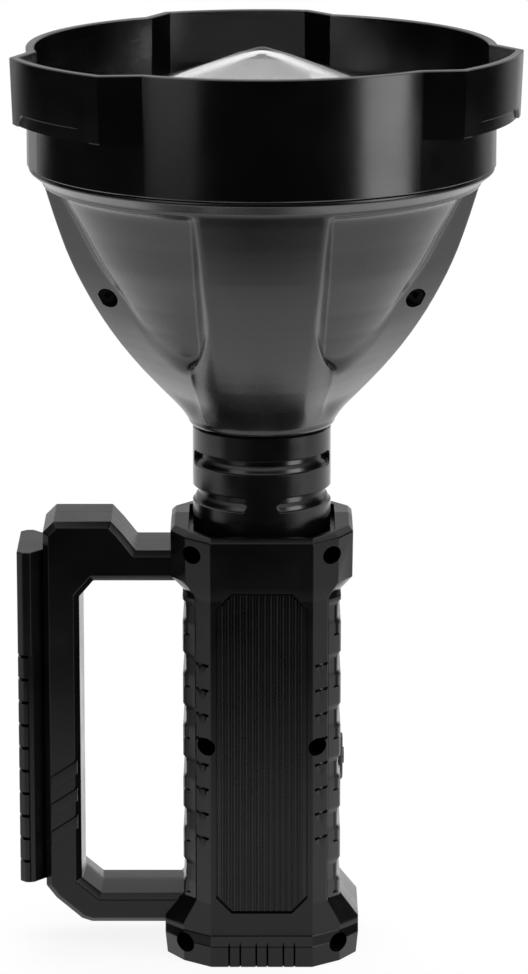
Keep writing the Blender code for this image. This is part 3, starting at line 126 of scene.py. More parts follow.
def stage_sheet(name, corners, shadow_share, middle_glow, side_glow, ends):
    """A sheet of the studio, white to the eye but for a shadow near the torch. In reflections its glow goes
    from middle_glow below the torch to side_glow at its sides, and fades out at its front and back ends."""
    made = bpy.data.materials.new(name)
    made.use_nodes = True
    tree = made.node_tree
    tree.nodes.clear()
    path = add_node(tree, 'LightPath').outputs
    where = add_node(tree, 'TexCoord').outputs["Object"]
    eye = reckon(tree, 'MAXIMUM', path["Is Camera Ray"], path["Is Transmission Ray"])
    seen = reckon(tree, 'MAXIMUM', eye, path["Is Glossy Ray"])
    near = add_node(tree, 'VectorMath', {0: where}, 'LENGTH').outputs["Value"]
    out_of_shadow = ramp(tree, near, shadow_near, shadow_far, 1.0 - shadow_share, 1.0, 'LINEAR')
    axes = add_node(tree, 'SeparateXYZ', {"Vector": where}).outputs
    across = ramp(tree, reckon(tree, 'ABSOLUTE', axes["X"]), side_near, side_far, middle_glow, side_glow)
    front_end = ramp(tree, axes["Y"], ends[0], ends[1], 0.0, 1.0)
    back_end = ramp(tree, axes["Y"], ends[2], ends[3], 1.0, 0.0)
    lit = reckon(tree, 'MULTIPLY', reckon(tree, 'MULTIPLY', front_end, back_end), across)
    level = add_node(tree, 'Mix', {"Factor": eye, "A": lit, "B": 1.0}).outputs["Result"]
    glow = add_node(tree, 'Emission', {"Strength": level})
    paper = add_node(tree, 'BsdfDiffuse', {"Color": paper_white})
    mix = add_node(tree, 'MixShader', {"Fac": reckon(tree, 'MULTIPLY', out_of_shadow, seen),
                                       1: paper.outputs[0], 2: glow.outputs[0]})
    add_node(tree, 'OutputMaterial', {"Surface": mix.outputs[0]})
    sheet = bmesh.new()
    sheet.faces.new([sheet.verts.new(corner) for corner in corners])
    mesh = bpy.data.meshes.new(name)
    sheet.to_mesh(mesh)
    sheet.free()
    mesh.materials.append(made)
    placed = bpy.data.objects.new(name, mesh)
    bpy.context.scene.collection.objects.link(placed)
    return placed


floor_side = 0.9
floor_front = -0.42
floor_back = 1.05
floor_shadow_share = 0.12
floor_middle_glow = 1.5
floor_side_glow = 1.05
floor_ends = (-0.34, -0.20, 1.0, 1.1)
board_place = 1.1
board_side = 1.5
board_break = 0.26
wing_break = 0.34
board_middle = 0.62
board_top = 1.6
board_ends = (0.0, 0.1, 2.0, 3.0)
stage_sheet("floor", ((-floor_side, floor_front, 0.0), (floor_side, floor_front, 0.0),
                      (floor_side, floor_back, 0.0), (-floor_side, floor_back, 0.0)),
            floor_shadow_share, floor_middle_glow, floor_side_glow, floor_ends)
for name, side_from, side_to, low, high, glow in (
        ("low_backdrop", -board_middle, board_middle, 0.0, board_break, 0.7),
        ("high_backdrop", -board_middle, board_middle, board_break, board_top, 0.55),
        ("left_low_wing", -board_side, -board_middle, 0.0, wing_break, 0.60),
        ("right_low_wing", board_middle, board_side, 0.0, wing_break, 0.42),
        ("left_high_wing", -board_side, -board_middle, wing_break, board_top, 0.8),
        ("right_high_wing", board_middle, board_side, wing_break, board_top, 1.0)):
    backdrop = stage_sheet(name, ((side_from, board_place, low), (side_to, board_place, low),
                                  (side_to, board_place, high), (side_from, board_place, high)),
                           0.0, glow, glow, board_ends)
    backdrop.visible_camera = False
    backdrop.visible_shadow = False
    backdrop.visible_diffuse = False


def softbox(name, place, aim, width, height, watts):
    """A rectangular studio lamp turned towards a point of the torch."""
    lamp = bpy.data.lights.new(name, 'AREA')
    lamp.shape = 'RECTANGLE'
    lamp.size = width
    lamp.size_y = height
    lamp.energy = watts
    made = bpy.data.objects.new(name, lamp)
    made.location = place
    made.rotation_euler = (Vector(aim) - Vector(place)).to_track_quat('-Z', 'Y').to_euler()
    made.visible_camera = False
    bpy.context.scene.collection.objects.link(made)


softbox("left_softbox", (-1.03, -1.09, 0.60), (0.0, 0.0, 0.40), 0.72, 1.1, 3.8)
softbox("right_softbox", (1.32, -0.72, 0.50), (0.0, 0.0, 0.35), 0.70, 1.2, 12.5)
softbox("top_softbox", (0.0, 0.45, 1.6), (0.0, 0.0, 0.2), 1.6, 0.8, 16.0)

# Body: two moulded shells of fine-grained black ABS, screwed together from the front, each with its half
# of the D handle. They start as one loft of fourteen corners, so that their edges are rounded in one go.
body_levels = ((0.0, 30.9, 15.9, 25.3, 24.5, 31.2), (6.9, 31.6, 16.0, 25.4, 24.6, 31.4),
               (9.6, 31.6, 14.6, 25.4, 21.9, 28.7), (12.0, 31.6, 14.6, 25.4, 21.9, 28.5),
               (20.0, 25.4, 13.1, 21.4, 23.4, 28.5), (20.6, 23.1, 13.0, 21.3, 23.6, 28.5),
               (121.8, 23.1, 13.0, 21.3, 23.6, 28.5), (122.4, 25.3, 13.1, 21.4, 23.5, 28.5),
               (126.9, 29.2, 14.5, 24.6, 22.0, 28.8), (142.8, 29.4, 14.5, 24.6, 22.0, 29.1),
               (144.3, 28.0, 13.0, 23.1, 20.5, 27.6))
front_facet = 16.4
split = 1.0 * mm
half_gap = 0.08 * mm
top_fall = math.tan(math.radians(2.9))
fall_from = 130.0
edge_round = 0.35 * mm


def loft(rings, closed=False):
    """A bmesh drawn from ring to ring of as many points each, with its ends filled or joined up."""
    shape = bmesh.new()
    row = [shape.verts.new(point) for point in rings[0]]
    loop = [shape.edges.new((a, b)) for a, b in zip(row, row[1:] + row[:1])]
    first = loop
    for ring in rings[1:] + ([rings[0]] if closed else []):
        drawn = bmesh.ops.extrude_edge_only(shape, edges=loop)["geom"]
        fresh = {item for item in drawn if isinstance(item, bmesh.types.BMVert)}
        row = [next(edge.other_vert(vertex) for edge in vertex.link_edges if edge.other_vert(vertex) in fresh)
               for vertex in row]
        loop = [edge for edge in drawn if isinstance(edge, bmesh.types.BMEdge)
                and all(vertex in fresh for vertex in edge.verts)]
        for vertex, point in zip(row, ring):
            vertex.co = point
    if not closed:
        for end in (first, loop):
            bmesh.ops.edgeloop_fill(shape, edges=end)
    return shape


def tidy(shape, near=0.002 * mm):
    """Merges doubles and turns the faces outwards."""
    bmesh.ops.remove_doubles(shape, verts=shape.verts, dist=near)
    bmesh.ops.recalc_face_normals(shape, faces=shape.faces)
    return shape


def bevel(shape, edges, width, segments=2):
    """Bevels the given edges."""
    bmesh.ops.bevel(shape, geom=edges, offset=width, segments=segments, profile=0.5, affect='EDGES',
                    material=-1, clamp_overlap=True)


def round_edges(shape, width, segments=2, least=25.0, keep=lambda edge: True):
    """Bevels the edges that turn more than least degrees."""
    tidy(shape)
    sharp = [edge for edge in shape.edges if edge.is_manifold and edge.calc_face_angle() > math.radians(least)
             and keep(edge)]
    bevel(shape, sharp, width, segments)
    return shape


def slab(outline, low, high, axis):
    """An outline in two axes drawn out along the third, from low to high."""
    spread = {'X': lambda u, v, w: (w, u, v), 'Y': lambda u, v, w: (u, w, v), 'Z': lambda u, v, w: (u, v, w)}
    shape = bmesh.new()
    face = shape.faces.new([shape.verts.new(spread[axis](u, v, low)) for u, v in outline])
    grown = bmesh.ops.extrude_face_region(shape, geom=[face])
    moved = [item for item in grown["geom"] if isinstance(item, bmesh.types.BMVert)]
    bmesh.ops.translate(shape, verts=moved, vec=Vector(spread[axis](0.0, 0.0, high - low)))
    return tidy(shape)


def block(low, high):
    """A box between two corners."""
    return slab(((low[0], low[1]), (high[0], low[1]), (high[0], high[1]), (low[0], high[1])),
                low[2], high[2], 'Z')


def rod(radius, low, high, place, axis='Y', steps=40):
    """A round bar along Y through (x, z), or along X through (y, z)."""
    outline = [(place[0] + radius * math.cos(math.tau * step / steps),
                place[1] + radius * math.sin(math.tau * step / steps)) for step in range(steps)]
    return slab(outline, low, high, axis)


def join(*shapes):
    """Several bmeshes as one."""
    whole = bmesh.new()
    for shape in shapes:
        mesh = bpy.data.meshes.new("part of a piece")
        shape.to_mesh(mesh)
        shape.free()
        whole.from_mesh(mesh)
        bpy.data.meshes.remove(mesh)
    return whole


def cast(name, shape):
    """An object from a bmesh."""
    mesh = bpy.data.meshes.new(name)
    shape.to_mesh(mesh)
    shape.free()
    made = bpy.data.objects.new(name, mesh)
    bpy.context.scene.collection.objects.link(made)
    return made


def carve(shape, tool, operation='DIFFERENCE'):
    """A new bmesh: shape cut by, joined with or kept inside another, with any sliver of a hole closed."""
    target, other = cast("blank", shape), cast("tool", tool)
    change = target.modifiers.new("carve", 'BOOLEAN')
    change.operation = operation
    change.solver = 'EXACT'
    change.object = other
    bpy.context.view_layer.update()
    cut = target.evaluated_get(bpy.context.evaluated_depsgraph_get()).to_mesh()
    result = bmesh.new()
    result.from_mesh(cut)
    bmesh.ops.holes_fill(result, edges=[edge for edge in result.edges if edge.is_boundary], sides=4)
    for used in (target, other):
        mesh = used.data
        bpy.data.objects.remove(used)
        bpy.data.meshes.remove(mesh)
    return result


def place(name, shape, material, body, slot, *stands_for, smooth=32.0):
    """The finished piece: smooth where it curves, in its material, on its body and in place of its nodes."""
    made = cast(name, shape)
    made.data.materials.append(material)
    made.data.shade_smooth()
    made.data.set_sharp_from_angle(angle=math.radians(smooth))
    even = made.modifiers.new("even shading", 'WEIGHTED_NORMAL')
    even.keep_sharp = True
    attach(made, body)
    if stands_for:
        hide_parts(*stands_for)
    return made


def body_ring(level):
    """The corners of the body's plan at one level, with two on the parting plane and the fall of its top."""
    height, width, side, facet_x, facet_y, depth = level
    quarter = ((width, side), (facet_x, facet_y), (front_facet, depth))
    flipped = tuple(reversed(quarter))
    around = [*quarter, *((-x, y) for x, y in flipped), (-width, split / mm), *((-x, -y) for x, y in quarter),
              *((x, -y) for x, y in flipped), (width, split / mm)]
    fall = top_fall if height > fall_from else 0.0
    return [Vector((x * mm, y * mm, height * mm - fall * abs(y * mm - split))) for x, y in around]


handle_outline = [(-24.2, 134.9), (-40.6, 134.9), (-44.9, 140.4), (-48.6, 144.5),
                  (-67.0, 144.5), (-70.6, 140.9), (-70.6, 21.5), (-67.3, 17.2), (-59.0, 10.1), (-55.7, 9.0),
                  (-24.2, 9.0), (-24.2, 18.9), (-52.6, 18.9), (-59.0, 24.2), (-59.0, 119.5),
                  (-54.4, 124.8), (-24.2, 124.8)]
handle_half_depth = 13.8 * mm
opening_x = -59.0 * mm
opening_low = 18.0 * mm
opening_high = 125.5 * mm
opening_draft = 0.9 * mm
handle_chamfer = 1.9 * mm
handle_round = 0.3 * mm
top_and_base = (6.9, 9.6, 142.8, 144.3)
ring_reach = 1.6 * mm
facet_reach = 9.0 * mm
hair = 0.01 * mm


def long_edge(edge):
    """True for the body's upright facet edges and for those round its base and its top."""
    a, b = (vertex.co for vertex in edge.verts)
    upright = abs(a.z - b.z) > abs(a.xy.length - b.xy.length) * 0.3 and (a.xy - b.xy).length < facet_reach
    level = any(abs(a.z - height * mm) < ring_reach and abs(b.z - height * mm) < ring_reach
                for height in top_and_base)
    return upright or level


body_solid = loft([body_ring(level) for level in body_levels])
ridge = [vertex for vertex in body_solid.verts if abs(vertex.co.y - split) < hair
         and vertex.co.z > (body_levels[-1][0] - 0.1) * mm]
bmesh.ops.connect_verts(body_solid, verts=ridge)
round_edges(body_solid, edge_round, 2, 8.0, long_edge)
handle = slab([(x * mm, z * mm) for x, z in handle_outline], -handle_half_depth, handle_half_depth, 'Y')
bmesh.ops.bisect_plane(handle, geom=[*handle.verts, *handle.edges, *handle.faces], dist=0.001 * mm,
                       plane_co=(0.0, split, 0.0), plane_no=(0.0, 1.0, 0.0))
for vertex in handle.verts:
    x, y, z = vertex.co
    if abs(y - split) < hair and x > opening_x - 0.1 * mm and opening_low < z < opening_high:
        vertex.co.x += opening_draft * (1.0 if x < opening_x + mm else 0.5)
        vertex.co.z += opening_draft * (0.5 if z < (opening_low + opening_high) / 2 else -0.5)
handle_rim = [edge for edge in handle.edges
              if abs(edge.verts[0].co.y - edge.verts[1].co.y) < mm]
bevel(handle, handle_rim, handle_chamfer, 1)
round_edges(handle, handle_round, 2, 20.0)
body_solid = carve(tidy(body_solid), tidy(handle), 'UNION')

# What is cut out of both shells: the pocket round the neck, the recesses of the grip panels, the screw
# holes, the scooped notches up the angled facets, the button's hole and the seat of the port's cover.
hole_radius = 2.9 * mm
hole_floor = -6.0 * mm
hole_start = -40.0 * mm
screw_places = ((22.45, 136.4), (17.9, 73.4), (24.9, 6.0))
notch_tops = [101.0 - 8.3 * step for step in range(8)]
notch_height = 5.0 * mm
notch_depth = 1.45 * mm
notch_slit = 0.95 * mm
notch_scoop = 0.5 * mm
notch_radius = 4.1 * mm
notch_x = 19.2 * mm
notch_y = 25.7 * mm
notch_steps = 26
panel_half = 14.5 * mm
panel_corner = 5.2 * mm
panel_gap = 0.3 * mm
panel_floor = 27.0 * mm
recess_end = 9.75 * mm
recess_top = 124.8 * mm
front_recess_low = 17.4 * mm
rear_recess_low = 43.7 * mm
recess_round = 0.22 * mm
face_y = 28.5 * mm
pocket_half = 23.6 * mm
pocket_flat = 15.1 * mm
pocket_front = 26.5 * mm
pocket_floor = 140.3 * mm
past_body = 150.0 * mm
button_middle = 62.2 * mm
button_half_height = 7.9 * mm
button_half_width = 4.0 * mm
button_gap = 0.4 * mm
button_hole = (14.0 * mm, 30.0 * mm)
flange_gap = 1.1 * mm
flange_hollow = (19.8 * mm, 21.9 * mm)
cover_seat = ((-8.4 * mm, 26.9 * mm, 20.9 * mm), (8.4 * mm, 36.0 * mm, 38.4 * mm))
port_mouth = ((-4.9 * mm, 15.0 * mm, 28.2 * mm), (4.9 * mm, 30.0 * mm, 32.4 * mm))


def octagon(half, end, low, high, corner):
    """A tall rectangle in X and Z with its corners cut."""
    return [(-end, low), (end, low), (half, low + corner), (half, high - corner), (end, high), (-end, high),
            (-half, high - corner), (-half, low + corner)]


def notch(side_x, side_y, top):
    """A leaning round bar that scoops one notch: deep under its flat top, and out of the facet lower down."""
    outward = Vector((side_x, side_y, 0.0)).normalized()
    along = Vector((-outward.y, outward.x, 0.0))
    rings = []
    for height, sunk in ((0.0, notch_depth), (-notch_slit, notch_depth * 0.8),
                         (-notch_slit * 1.1, notch_scoop), (-notch_height * 1.4, -notch_scoop * 0.5)):
        middle = Vector((side_x * notch_x, side_y * notch_y, top * mm + height))
        middle += outward * (notch_radius - sunk)
        rings.append([middle + outward * notch_radius * math.cos(math.tau * step / notch_steps)
                      + along * notch_radius * math.sin(math.tau * step / notch_steps)
                      for step in range(notch_steps)])
    return tidy(loft(rings))


def pill(grow):
    """The outline of the button in Y and Z, grown all round: straight sides and round ends."""
    steps = 14
    half_height, half_width = button_half_height + grow, button_half_width + grow
    points = []
    for end in (1, -1):
        for step in range(steps + 1):
            turn = math.pi * step / steps
            points.append((end * half_width * math.cos(turn),
                           button_middle + end * (half_height - half_width + half_width * math.sin(turn))))
    return points


pocket_corner = pocket_half - pocket_flat
pocket = slab([(-pocket_half, -pocket_front + pocket_corner), (-pocket_flat, -pocket_front),
               (pocket_flat, -pocket_front), (pocket_half, -pocket_front + pocket_corner),
               (pocket_half, pocket_flat), (pocket_flat, pocket_half), (-pocket_flat, pocket_half),
               (-pocket_half, pocket_flat)], pocket_floor, past_body, 'Z')
front_recess = slab(octagon(panel_half + panel_gap, recess_end, front_recess_low, recess_top, panel_corner),
                    hole_start, -panel_floor, 'Y')
rear_recess = slab(octagon(panel_half + panel_gap, recess_end, rear_recess_low, recess_top, panel_corner),
                   panel_floor, -hole_start, 'Y')
hole_for_button = slab(pill(button_gap), *button_hole, 'X')
body_solid = carve(body_solid, join(pocket, front_recess, rear_recess, hole_for_button, block(*cover_seat),
                                    block(*port_mouth)))
recess_rim = [edge for edge in body_solid.edges if edge.is_manifold
              and all(abs(abs(v.co.y) - face_y) < 0.05 * mm and abs(v.co.x) < panel_half + 0.5 * mm
                      and front_recess_low - 0.4 * mm < v.co.z < recess_top + 0.2 * mm for v in edge.verts)
              and edge.calc_face_angle() > math.radians(60.0)]
bevel(body_solid, recess_rim, recess_round)
body_solid = carve(body_solid, slab(pill(flange_gap), *flange_hollow, 'X'))
holes = [rod(hole_radius, hole_start, hole_floor, (side * x * mm, z * mm)) for x, z in screw_places
         for side in (-1, 1)]
body_solid = carve(body_solid, join(*holes))
for side_x, side_y in ((-1, -1), (1, -1), (1, 1), (-1, 1)):
    body_solid = carve(tidy(body_solid), join(*(notch(side_x, side_y, top) for top in notch_tops)))

# Three short ribs stand on the base's front, each between two fine V grooves, and three slanted bars on the
# front of the handle. All are moulded with the shells.
base_front = -31.4 * mm
base_groove_half = 0.56 * mm
base_groove_deep = 1.3 * mm
base_groove_top = 9.0 * mm
base_rib_half = 1.8 * mm
base_rib_pitch = 8.8 * mm
bar_first = 36.0 * mm
bar_pitch = 9.3 * mm
bar_back = -68.7 * mm
bar_front = -60.0 * mm
bar_slant = 5.7 * mm
bar_height = 4.6 * mm
bar_depths = (-14.4 * mm, -12.5 * mm)
grooves = []
for step in (-1, 0, 1):
    for side in (-1, 1):
        x = step * base_rib_pitch + side * base_rib_half
        grooves.append(slab([(x - base_groove_half, base_front - mm), (x + base_groove_half, base_front - mm),
                             (x, base_front + base_groove_deep)], -mm, base_groove_top, 'Z'))
body_solid = carve(body_solid, join(*grooves))
bars = []
for step in range(3):
    low = bar_first + bar_pitch * step
    bar = slab([(bar_back, low), (bar_front, low + bar_slant), (bar_front, low + bar_slant + bar_height),
                (bar_back, low + bar_height)], *bar_depths, 'Y')
    bars.append(round_edges(bar, handle_round, 2, 20.0))
body_solid = carve(body_solid, join(*bars), 'UNION')


def speckle():
    """A node group: the fine even grain that a spark-eroded mould leaves, with faint patches of polish."""
    group = bpy.data.node_groups.new("moulded grain", 'ShaderNodeTree')
    for name, kind in (("Colour", 'NodeSocketColor'), ("Patch Colour", 'NodeSocketColor'),
                       ("Roughness", 'NodeSocketFloat'), ("Roughness Spread", 'NodeSocketFloat'),
                       ("Grain Scale", 'NodeSocketFloat'), ("Patch Scale", 'NodeSocketFloat')):
        group.interface.new_socket(name, in_out='INPUT', socket_type=kind)
    for name, kind in (("Colour", 'NodeSocketColor'), ("Roughness", 'NodeSocketFloat'),
                       ("Height", 'NodeSocketFloat')):
        group.interface.new_socket(name, in_out='OUTPUT', socket_type=kind)
    inward = group.nodes.new('NodeGroupInput')
    outward = group.nodes.new('NodeGroupOutput')
    where = add_node(group, 'TexCoord').outputs["Object"]
    grain = add_node(group, 'TexNoise', {"Vector": where, "Scale": inward.outputs["Grain Scale"],
                                         "Detail": 1.0, "Roughness": 0.4})
    patch = add_node(group, 'TexNoise', {"Vector": where, "Scale": inward.outputs["Patch Scale"],
                                         "Detail": 4.0, "Roughness": 0.55})
    polish = ramp(group, patch.outputs["Fac"], 0.35, 0.65, 0.0, 1.0, 'LINEAR')
    tint = group.nodes.new('ShaderNodeMix')
    tint.data_type = 'RGBA'
    wire(group, tint, {"Factor": polish, "A": inward.outputs["Colour"], "B": inward.outputs["Patch Colour"]})
    rough = reckon(group, 'MULTIPLY_ADD', reckon(group, 'SUBTRACT', polish, 0.5),
                   inward.outputs["Roughness Spread"], inward.outputs["Roughness"])
    wire(group, outward, {"Colour": tint.outputs["Result"], "Roughness": rough,
                          "Height": grain.outputs["Fac"]})
    return group


moulded_grain = speckle()


def finish(name, colour, patch_colour, roughness, spread, grain_scale, grain_height, patch_scale=60.0,
           metallic=0.0, shine=0.5):
    """A material of this torch: its colour, polish and grain from the group, its shader here."""
    made = bpy.data.materials.new(name)
    made.use_nodes = True
    tree = made.node_tree
    shader = tree.nodes["Principled BSDF"]
    grain = tree.nodes.new('ShaderNodeGroup')
    grain.node_tree = moulded_grain
    grain.name = "grain"
    wire(tree, grain, {"Colour": (*colour, 1.0), "Patch Colour": (*patch_colour, 1.0), "Roughness": roughness,
                       "Roughness Spread": spread, "Grain Scale": grain_scale, "Patch Scale": patch_scale})
    bump = add_node(tree, 'Bump', {"Distance": grain_height, "Height": grain.outputs["Height"]})
    bump.name = "relief"
    wire(tree, shader, {"Metallic": metallic, "Specular IOR Level": shine,
                        "Base Color": grain.outputs["Colour"], "Roughness": grain.outputs["Roughness"],
                        "Normal": bump.outputs["Normal"]})
    return made


abs_black = ((0.0018, 0.0018, 0.0021), (0.0026, 0.0026, 0.0030))
abs_plastic = finish("grained black ABS", *abs_black, 0.25, 0.06, 2600.0, 0.02 * mm, shine=0.22)
room_size = 200.0 * mm
front_half = carve(join(body_solid.copy()), block((-room_size, split - half_gap, -room_size),
                                                  (room_size, room_size, room_size)))
rear_half = carve(body_solid, block((-room_size, -room_size, -room_size),
                                    (room_size, split + half_gap, room_size)))
place("front_shell", front_half, abs_plastic, "torch", "body_plastic", "body_front_shell")
place("rear_shell", rear_half, abs_plastic, "torch", "body_plastic", "body_rear_shell")

# Grip panels: black rubber sheets with fine upright ribs, glued into recesses of the front and the rear.
# Each rib has a wide foot and a rounded crest. Every other one is lower, and the outer ones are shorter.
deep_black = ((0.0016, 0.0016, 0.0019), (0.0024, 0.0024, 0.0028))
rubber = finish("ribbed black rubber", *deep_black, 0.28, 0.08, 1500.0, 0.02 * mm, shine=0.26)
panel_end = 9.6 * mm
panel_top = 124.5 * mm
panel_bed = panel_floor + 0.05 * mm
panel_base = 0.25 * mm
panel_round = 0.15 * mm
rib_count = 27
rib_step = 0.98 * mm
rib_foot = 0.40 * mm
rib_crest = 0.25 * mm
rib_rise = 0.85 * mm
odd_rib_drop = 0.38 * mm
rib_end = 0.25 * mm
rib_round = 0.20 * mm
for panel_name, side_y, panel_low, node in (("front grip panel", -1, 17.7 * mm, "front_grip_panel"),
                                            ("rear grip panel", 1, 44.0 * mm, "rear_grip_panel")):
    sheet = slab(octagon(panel_half, panel_end, panel_low, panel_top, panel_corner),
                 *sorted((side_y * panel_bed, side_y * (panel_bed + panel_base))), 'Y')
    ribs = [round_edges(sheet, panel_round, 1, 60.0,
                        lambda edge: all(abs(v.co.y) > panel_bed + 0.2 * mm for v in edge.verts))]
    for step in range(rib_count):
        x = (step - (rib_count - 1) / 2) * rib_step
        cut_back = max(0.0, abs(x) + rib_crest - panel_end) * panel_corner / (panel_half - panel_end)
        crest_y = panel_bed + panel_base + rib_rise - odd_rib_drop * (step % 2)
        near_crest = crest_y - 0.1 * mm
        outline = [(x - rib_foot, side_y * panel_bed), (x + rib_foot, side_y * panel_bed),
                   (x + rib_crest, side_y * crest_y), (x - rib_crest, side_y * crest_y)]
        rib = slab(outline, panel_low + cut_back + rib_end, panel_top - cut_back - rib_end, 'Z')
        ribs.append(round_edges(rib, rib_round, 3, 20.0,
                                lambda edge: all(abs(v.co.y) > near_crest for v in edge.verts)))
    place(panel_name.replace(" ", "_"), join(*ribs), rubber, "torch", "grip_rubber", node, smooth=50.0)

# Side grips: satin rubber skins over both sides, with a row of soft bulges for the fingers. From each valley
# a fine groove runs down beside the skin's turned edge and ends in a small pit.
side_rubber = finish("side grip rubber", (0.0035, 0.0035, 0.0038), (0.005, 0.005, 0.0055), 0.30, 0.08, 1500.0,
                     0.02 * mm, shine=0.38)
grip_low = 20.8 * mm
grip_high = 121.4 * mm
grip_edge_x = 21.50 * mm
grip_edge_y = 22.95 * mm
grip_turn_y = 19.6 * mm
grip_lip = 0.35 * mm
grip_flat = 24.7 * mm
grip_back_x = 21.2 * mm
outer_from = 24.0 * mm
grip_rows = 180
grip_columns = 8
bulge_fade_share = 0.3
bulge_rise = 0.8 * mm
bulge_half_depth = 18.2 * mm
bulge_pitch = 17.4 * mm
bulge_first = 125.3 * mm
bulge_half = 5.0 * mm
bulge_rise_length = 1.4 * mm
bulge_fall_length = 0.6 * mm
groove_x = 23.5 * mm
groove_y = 20.4 * mm
groove_half = 0.4 * mm
groove_high = 2.3 * mm
groove_low = -7.7 * mm
pit_half = groove_half * 2.2
pit_high = groove_low + groove_half * 1.8
groove_start = -0.5 * mm
groove_end = 2.0 * mm


def soft_step(value, low, high):
    """0 below low, 1 above high, and an even S curve between."""
    share = min(1.0, max(0.0, (value - low) / (high - low)))
    return share * share * (3.0 - 2.0 * share)


def firm_step(value, low, high):
    """A straight ramp from 0 at low to 1 at high, with lightly rounded ends."""
    straight = min(1.0, max(0.0, (value - low) / (high - low)))
    return straight * 0.6 + soft_step(value, low, high) * 0.4


def bulge(height):
    """How far a side grip stands out at a height: full at a bulge's middle, none in a valley."""
    below = (bulge_first - height + bulge_pitch / 2) % bulge_pitch - bulge_pitch / 2
    if below < 0.0:
        return bulge_rise * (1.0 - firm_step(-below, bulge_half, bulge_half + bulge_rise_length))
    return bulge_rise * (1.0 - firm_step(below, bulge_half, bulge_half + bulge_fall_length))


for grip_name, side, node in (("left side grip", -1, "side_grip_left"),
                              ("right side grip", 1, "side_grip_right")):
    plan = [(grip_edge_x, -grip_edge_y), (grip_flat - grip_lip, -grip_turn_y),
            (grip_flat, -bulge_half_depth), (grip_flat, bulge_half_depth),
            (grip_flat - grip_lip, grip_turn_y), (grip_edge_x, grip_edge_y), (grip_back_x, grip_edge_y - mm),
            (grip_back_x, mm - grip_edge_y)]
    skin = slab([(side * x, y) for x, y in plan], grip_low, grip_high, 'Z')
    upright = [edge for edge in skin.edges if abs(edge.verts[0].co.z - edge.verts[1].co.z) > mm]
    bmesh.ops.subdivide_edges(skin, edges=upright, cuts=grip_rows, use_grid_fill=True)
    flats = [edge for edge in skin.edges
             if abs(abs(edge.verts[0].co.y - edge.verts[1].co.y) - 2 * bulge_half_depth) < 0.1 * mm
             and abs(edge.verts[0].co.x) > outer_from]
    bmesh.ops.subdivide_edges(skin, edges=flats, cuts=grip_columns, use_grid_fill=True)
    for vertex in skin.verts:
        if abs(vertex.co.x) > outer_from:
            across = 1.0 - bulge_fade_share * soft_step(abs(vertex.co.y), bulge_half_depth, grip_turn_y)
            vertex.co.x += side * bulge(vertex.co.z) * across
    for wide, low, high in ((groove_half, groove_low + groove_half, groove_high),
                            (pit_half, groove_low, pit_high)):
        lines = []
        for step in range(6):
            middle = bulge_first - bulge_pitch * (step + 0.5)
            for side_y in (-1, 1):
                plan = [(side * (x + groove_x), side_y * (groove_y + y)) for x, y in (
                    (groove_start, wide), (groove_end, wide), (groove_end, -wide), (0.0, -wide))]
                lines.append(slab(plan, middle + low, middle + high, 'Z'))
        skin = carve(tidy(skin), join(*lines))
    if side > 0:
        skin = carve(skin, slab(pill(button_gap), *button_hole, 'X'))
    place(grip_name.replace(" ", "_"), tidy(skin), side_rubber, "torch", "side_rubber", node, smooth=40.0)

# Power button: a satin rubber pad in the right side, set over its switch.
button_rubber = finish("button rubber", (0.009, 0.009, 0.0095), (0.013, 0.013, 0.0135), 0.38, 0.10, 1300.0,
                       0.04 * mm)
button_back = 20.8 * mm
button_face = 26.5 * mm
button_round = 0.7 * mm
flange_grow = 0.7 * mm
flange_thick = 0.8 * mm
stem_radius = 1.6 * mm
stem_ends = (20.1 * mm, 21.0 * mm)
mark_depths = (26.0 * mm, 26.9 * mm)
mark_cut = (25.0 * mm, 28.0 * mm)
ring_outer = 2.4 * mm
ring_inner = 1.7 * mm
ring_gap_half = 0.5 * mm
tick_half = 0.22 * mm
tick_ends = (button_middle + 0.6 * mm, button_middle + 3.0 * mm)
button_axis = (0.0, button_middle)
pad = slab(pill(0.0), button_back, button_face, 'X')
round_edges(pad, button_round, 4, 60.0, lambda edge: all(v.co.x > button_face - 0.1 * mm for v in edge.verts))
flange = slab(pill(flange_grow), button_back, button_back + flange_thick, 'X')
stem = rod(stem_radius, *stem_ends, button_axis, 'X')
ring = rod(ring_outer, *mark_depths, button_axis, 'X', 48)
ring = carve(ring, rod(ring_inner, *mark_cut, button_axis, 'X', 48))
ring = carve(ring, block((mark_cut[0], -ring_gap_half, button_middle),
                         (mark_cut[1], ring_gap_half, button_middle + 4.0 * mm)))
tick = block((mark_depths[0], -tick_half, tick_ends[0]), (mark_depths[1], tick_half, tick_ends[1]))
place("button_pad", join(tidy(pad), flange, stem, tidy(ring), tick), button_rubber, "button", "button_rubber",
      "power_button")

# Charge port cover: a soft flap over the port, held by its lower edge, with a small lip to pull it by.
flap_rubber = finish("cover rubber", (0.016, 0.016, 0.017), (0.022, 0.022, 0.023), 0.52, 0.10, 1300.0,
                     0.05 * mm)
flap_round = 0.5 * mm
lip_half = 3.0 * mm
lip_sunk = 0.2 * mm
lip_rise = 0.7 * mm
lip_low = 2.2 * mm
lip_high = 0.9 * mm
lip_round = 0.3 * mm
flap_low, flap_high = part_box("port_cover")
flap = block(flap_low, flap_high)
round_edges(flap, flap_round, 3, 60.0, lambda edge: all(v.co.y > flap_high.y - 0.1 * mm for v in edge.verts))
lip = block((-lip_half, flap_high.y - lip_sunk, flap_high.z - lip_low),
            (lip_half, flap_high.y + lip_rise, flap_high.z - lip_high))
round_edges(lip, lip_round, 3, 60.0)
place("port_flap", join(tidy(flap), tidy(lip)), flap_rubber, "cover", "cover_rubber", "port_cover")

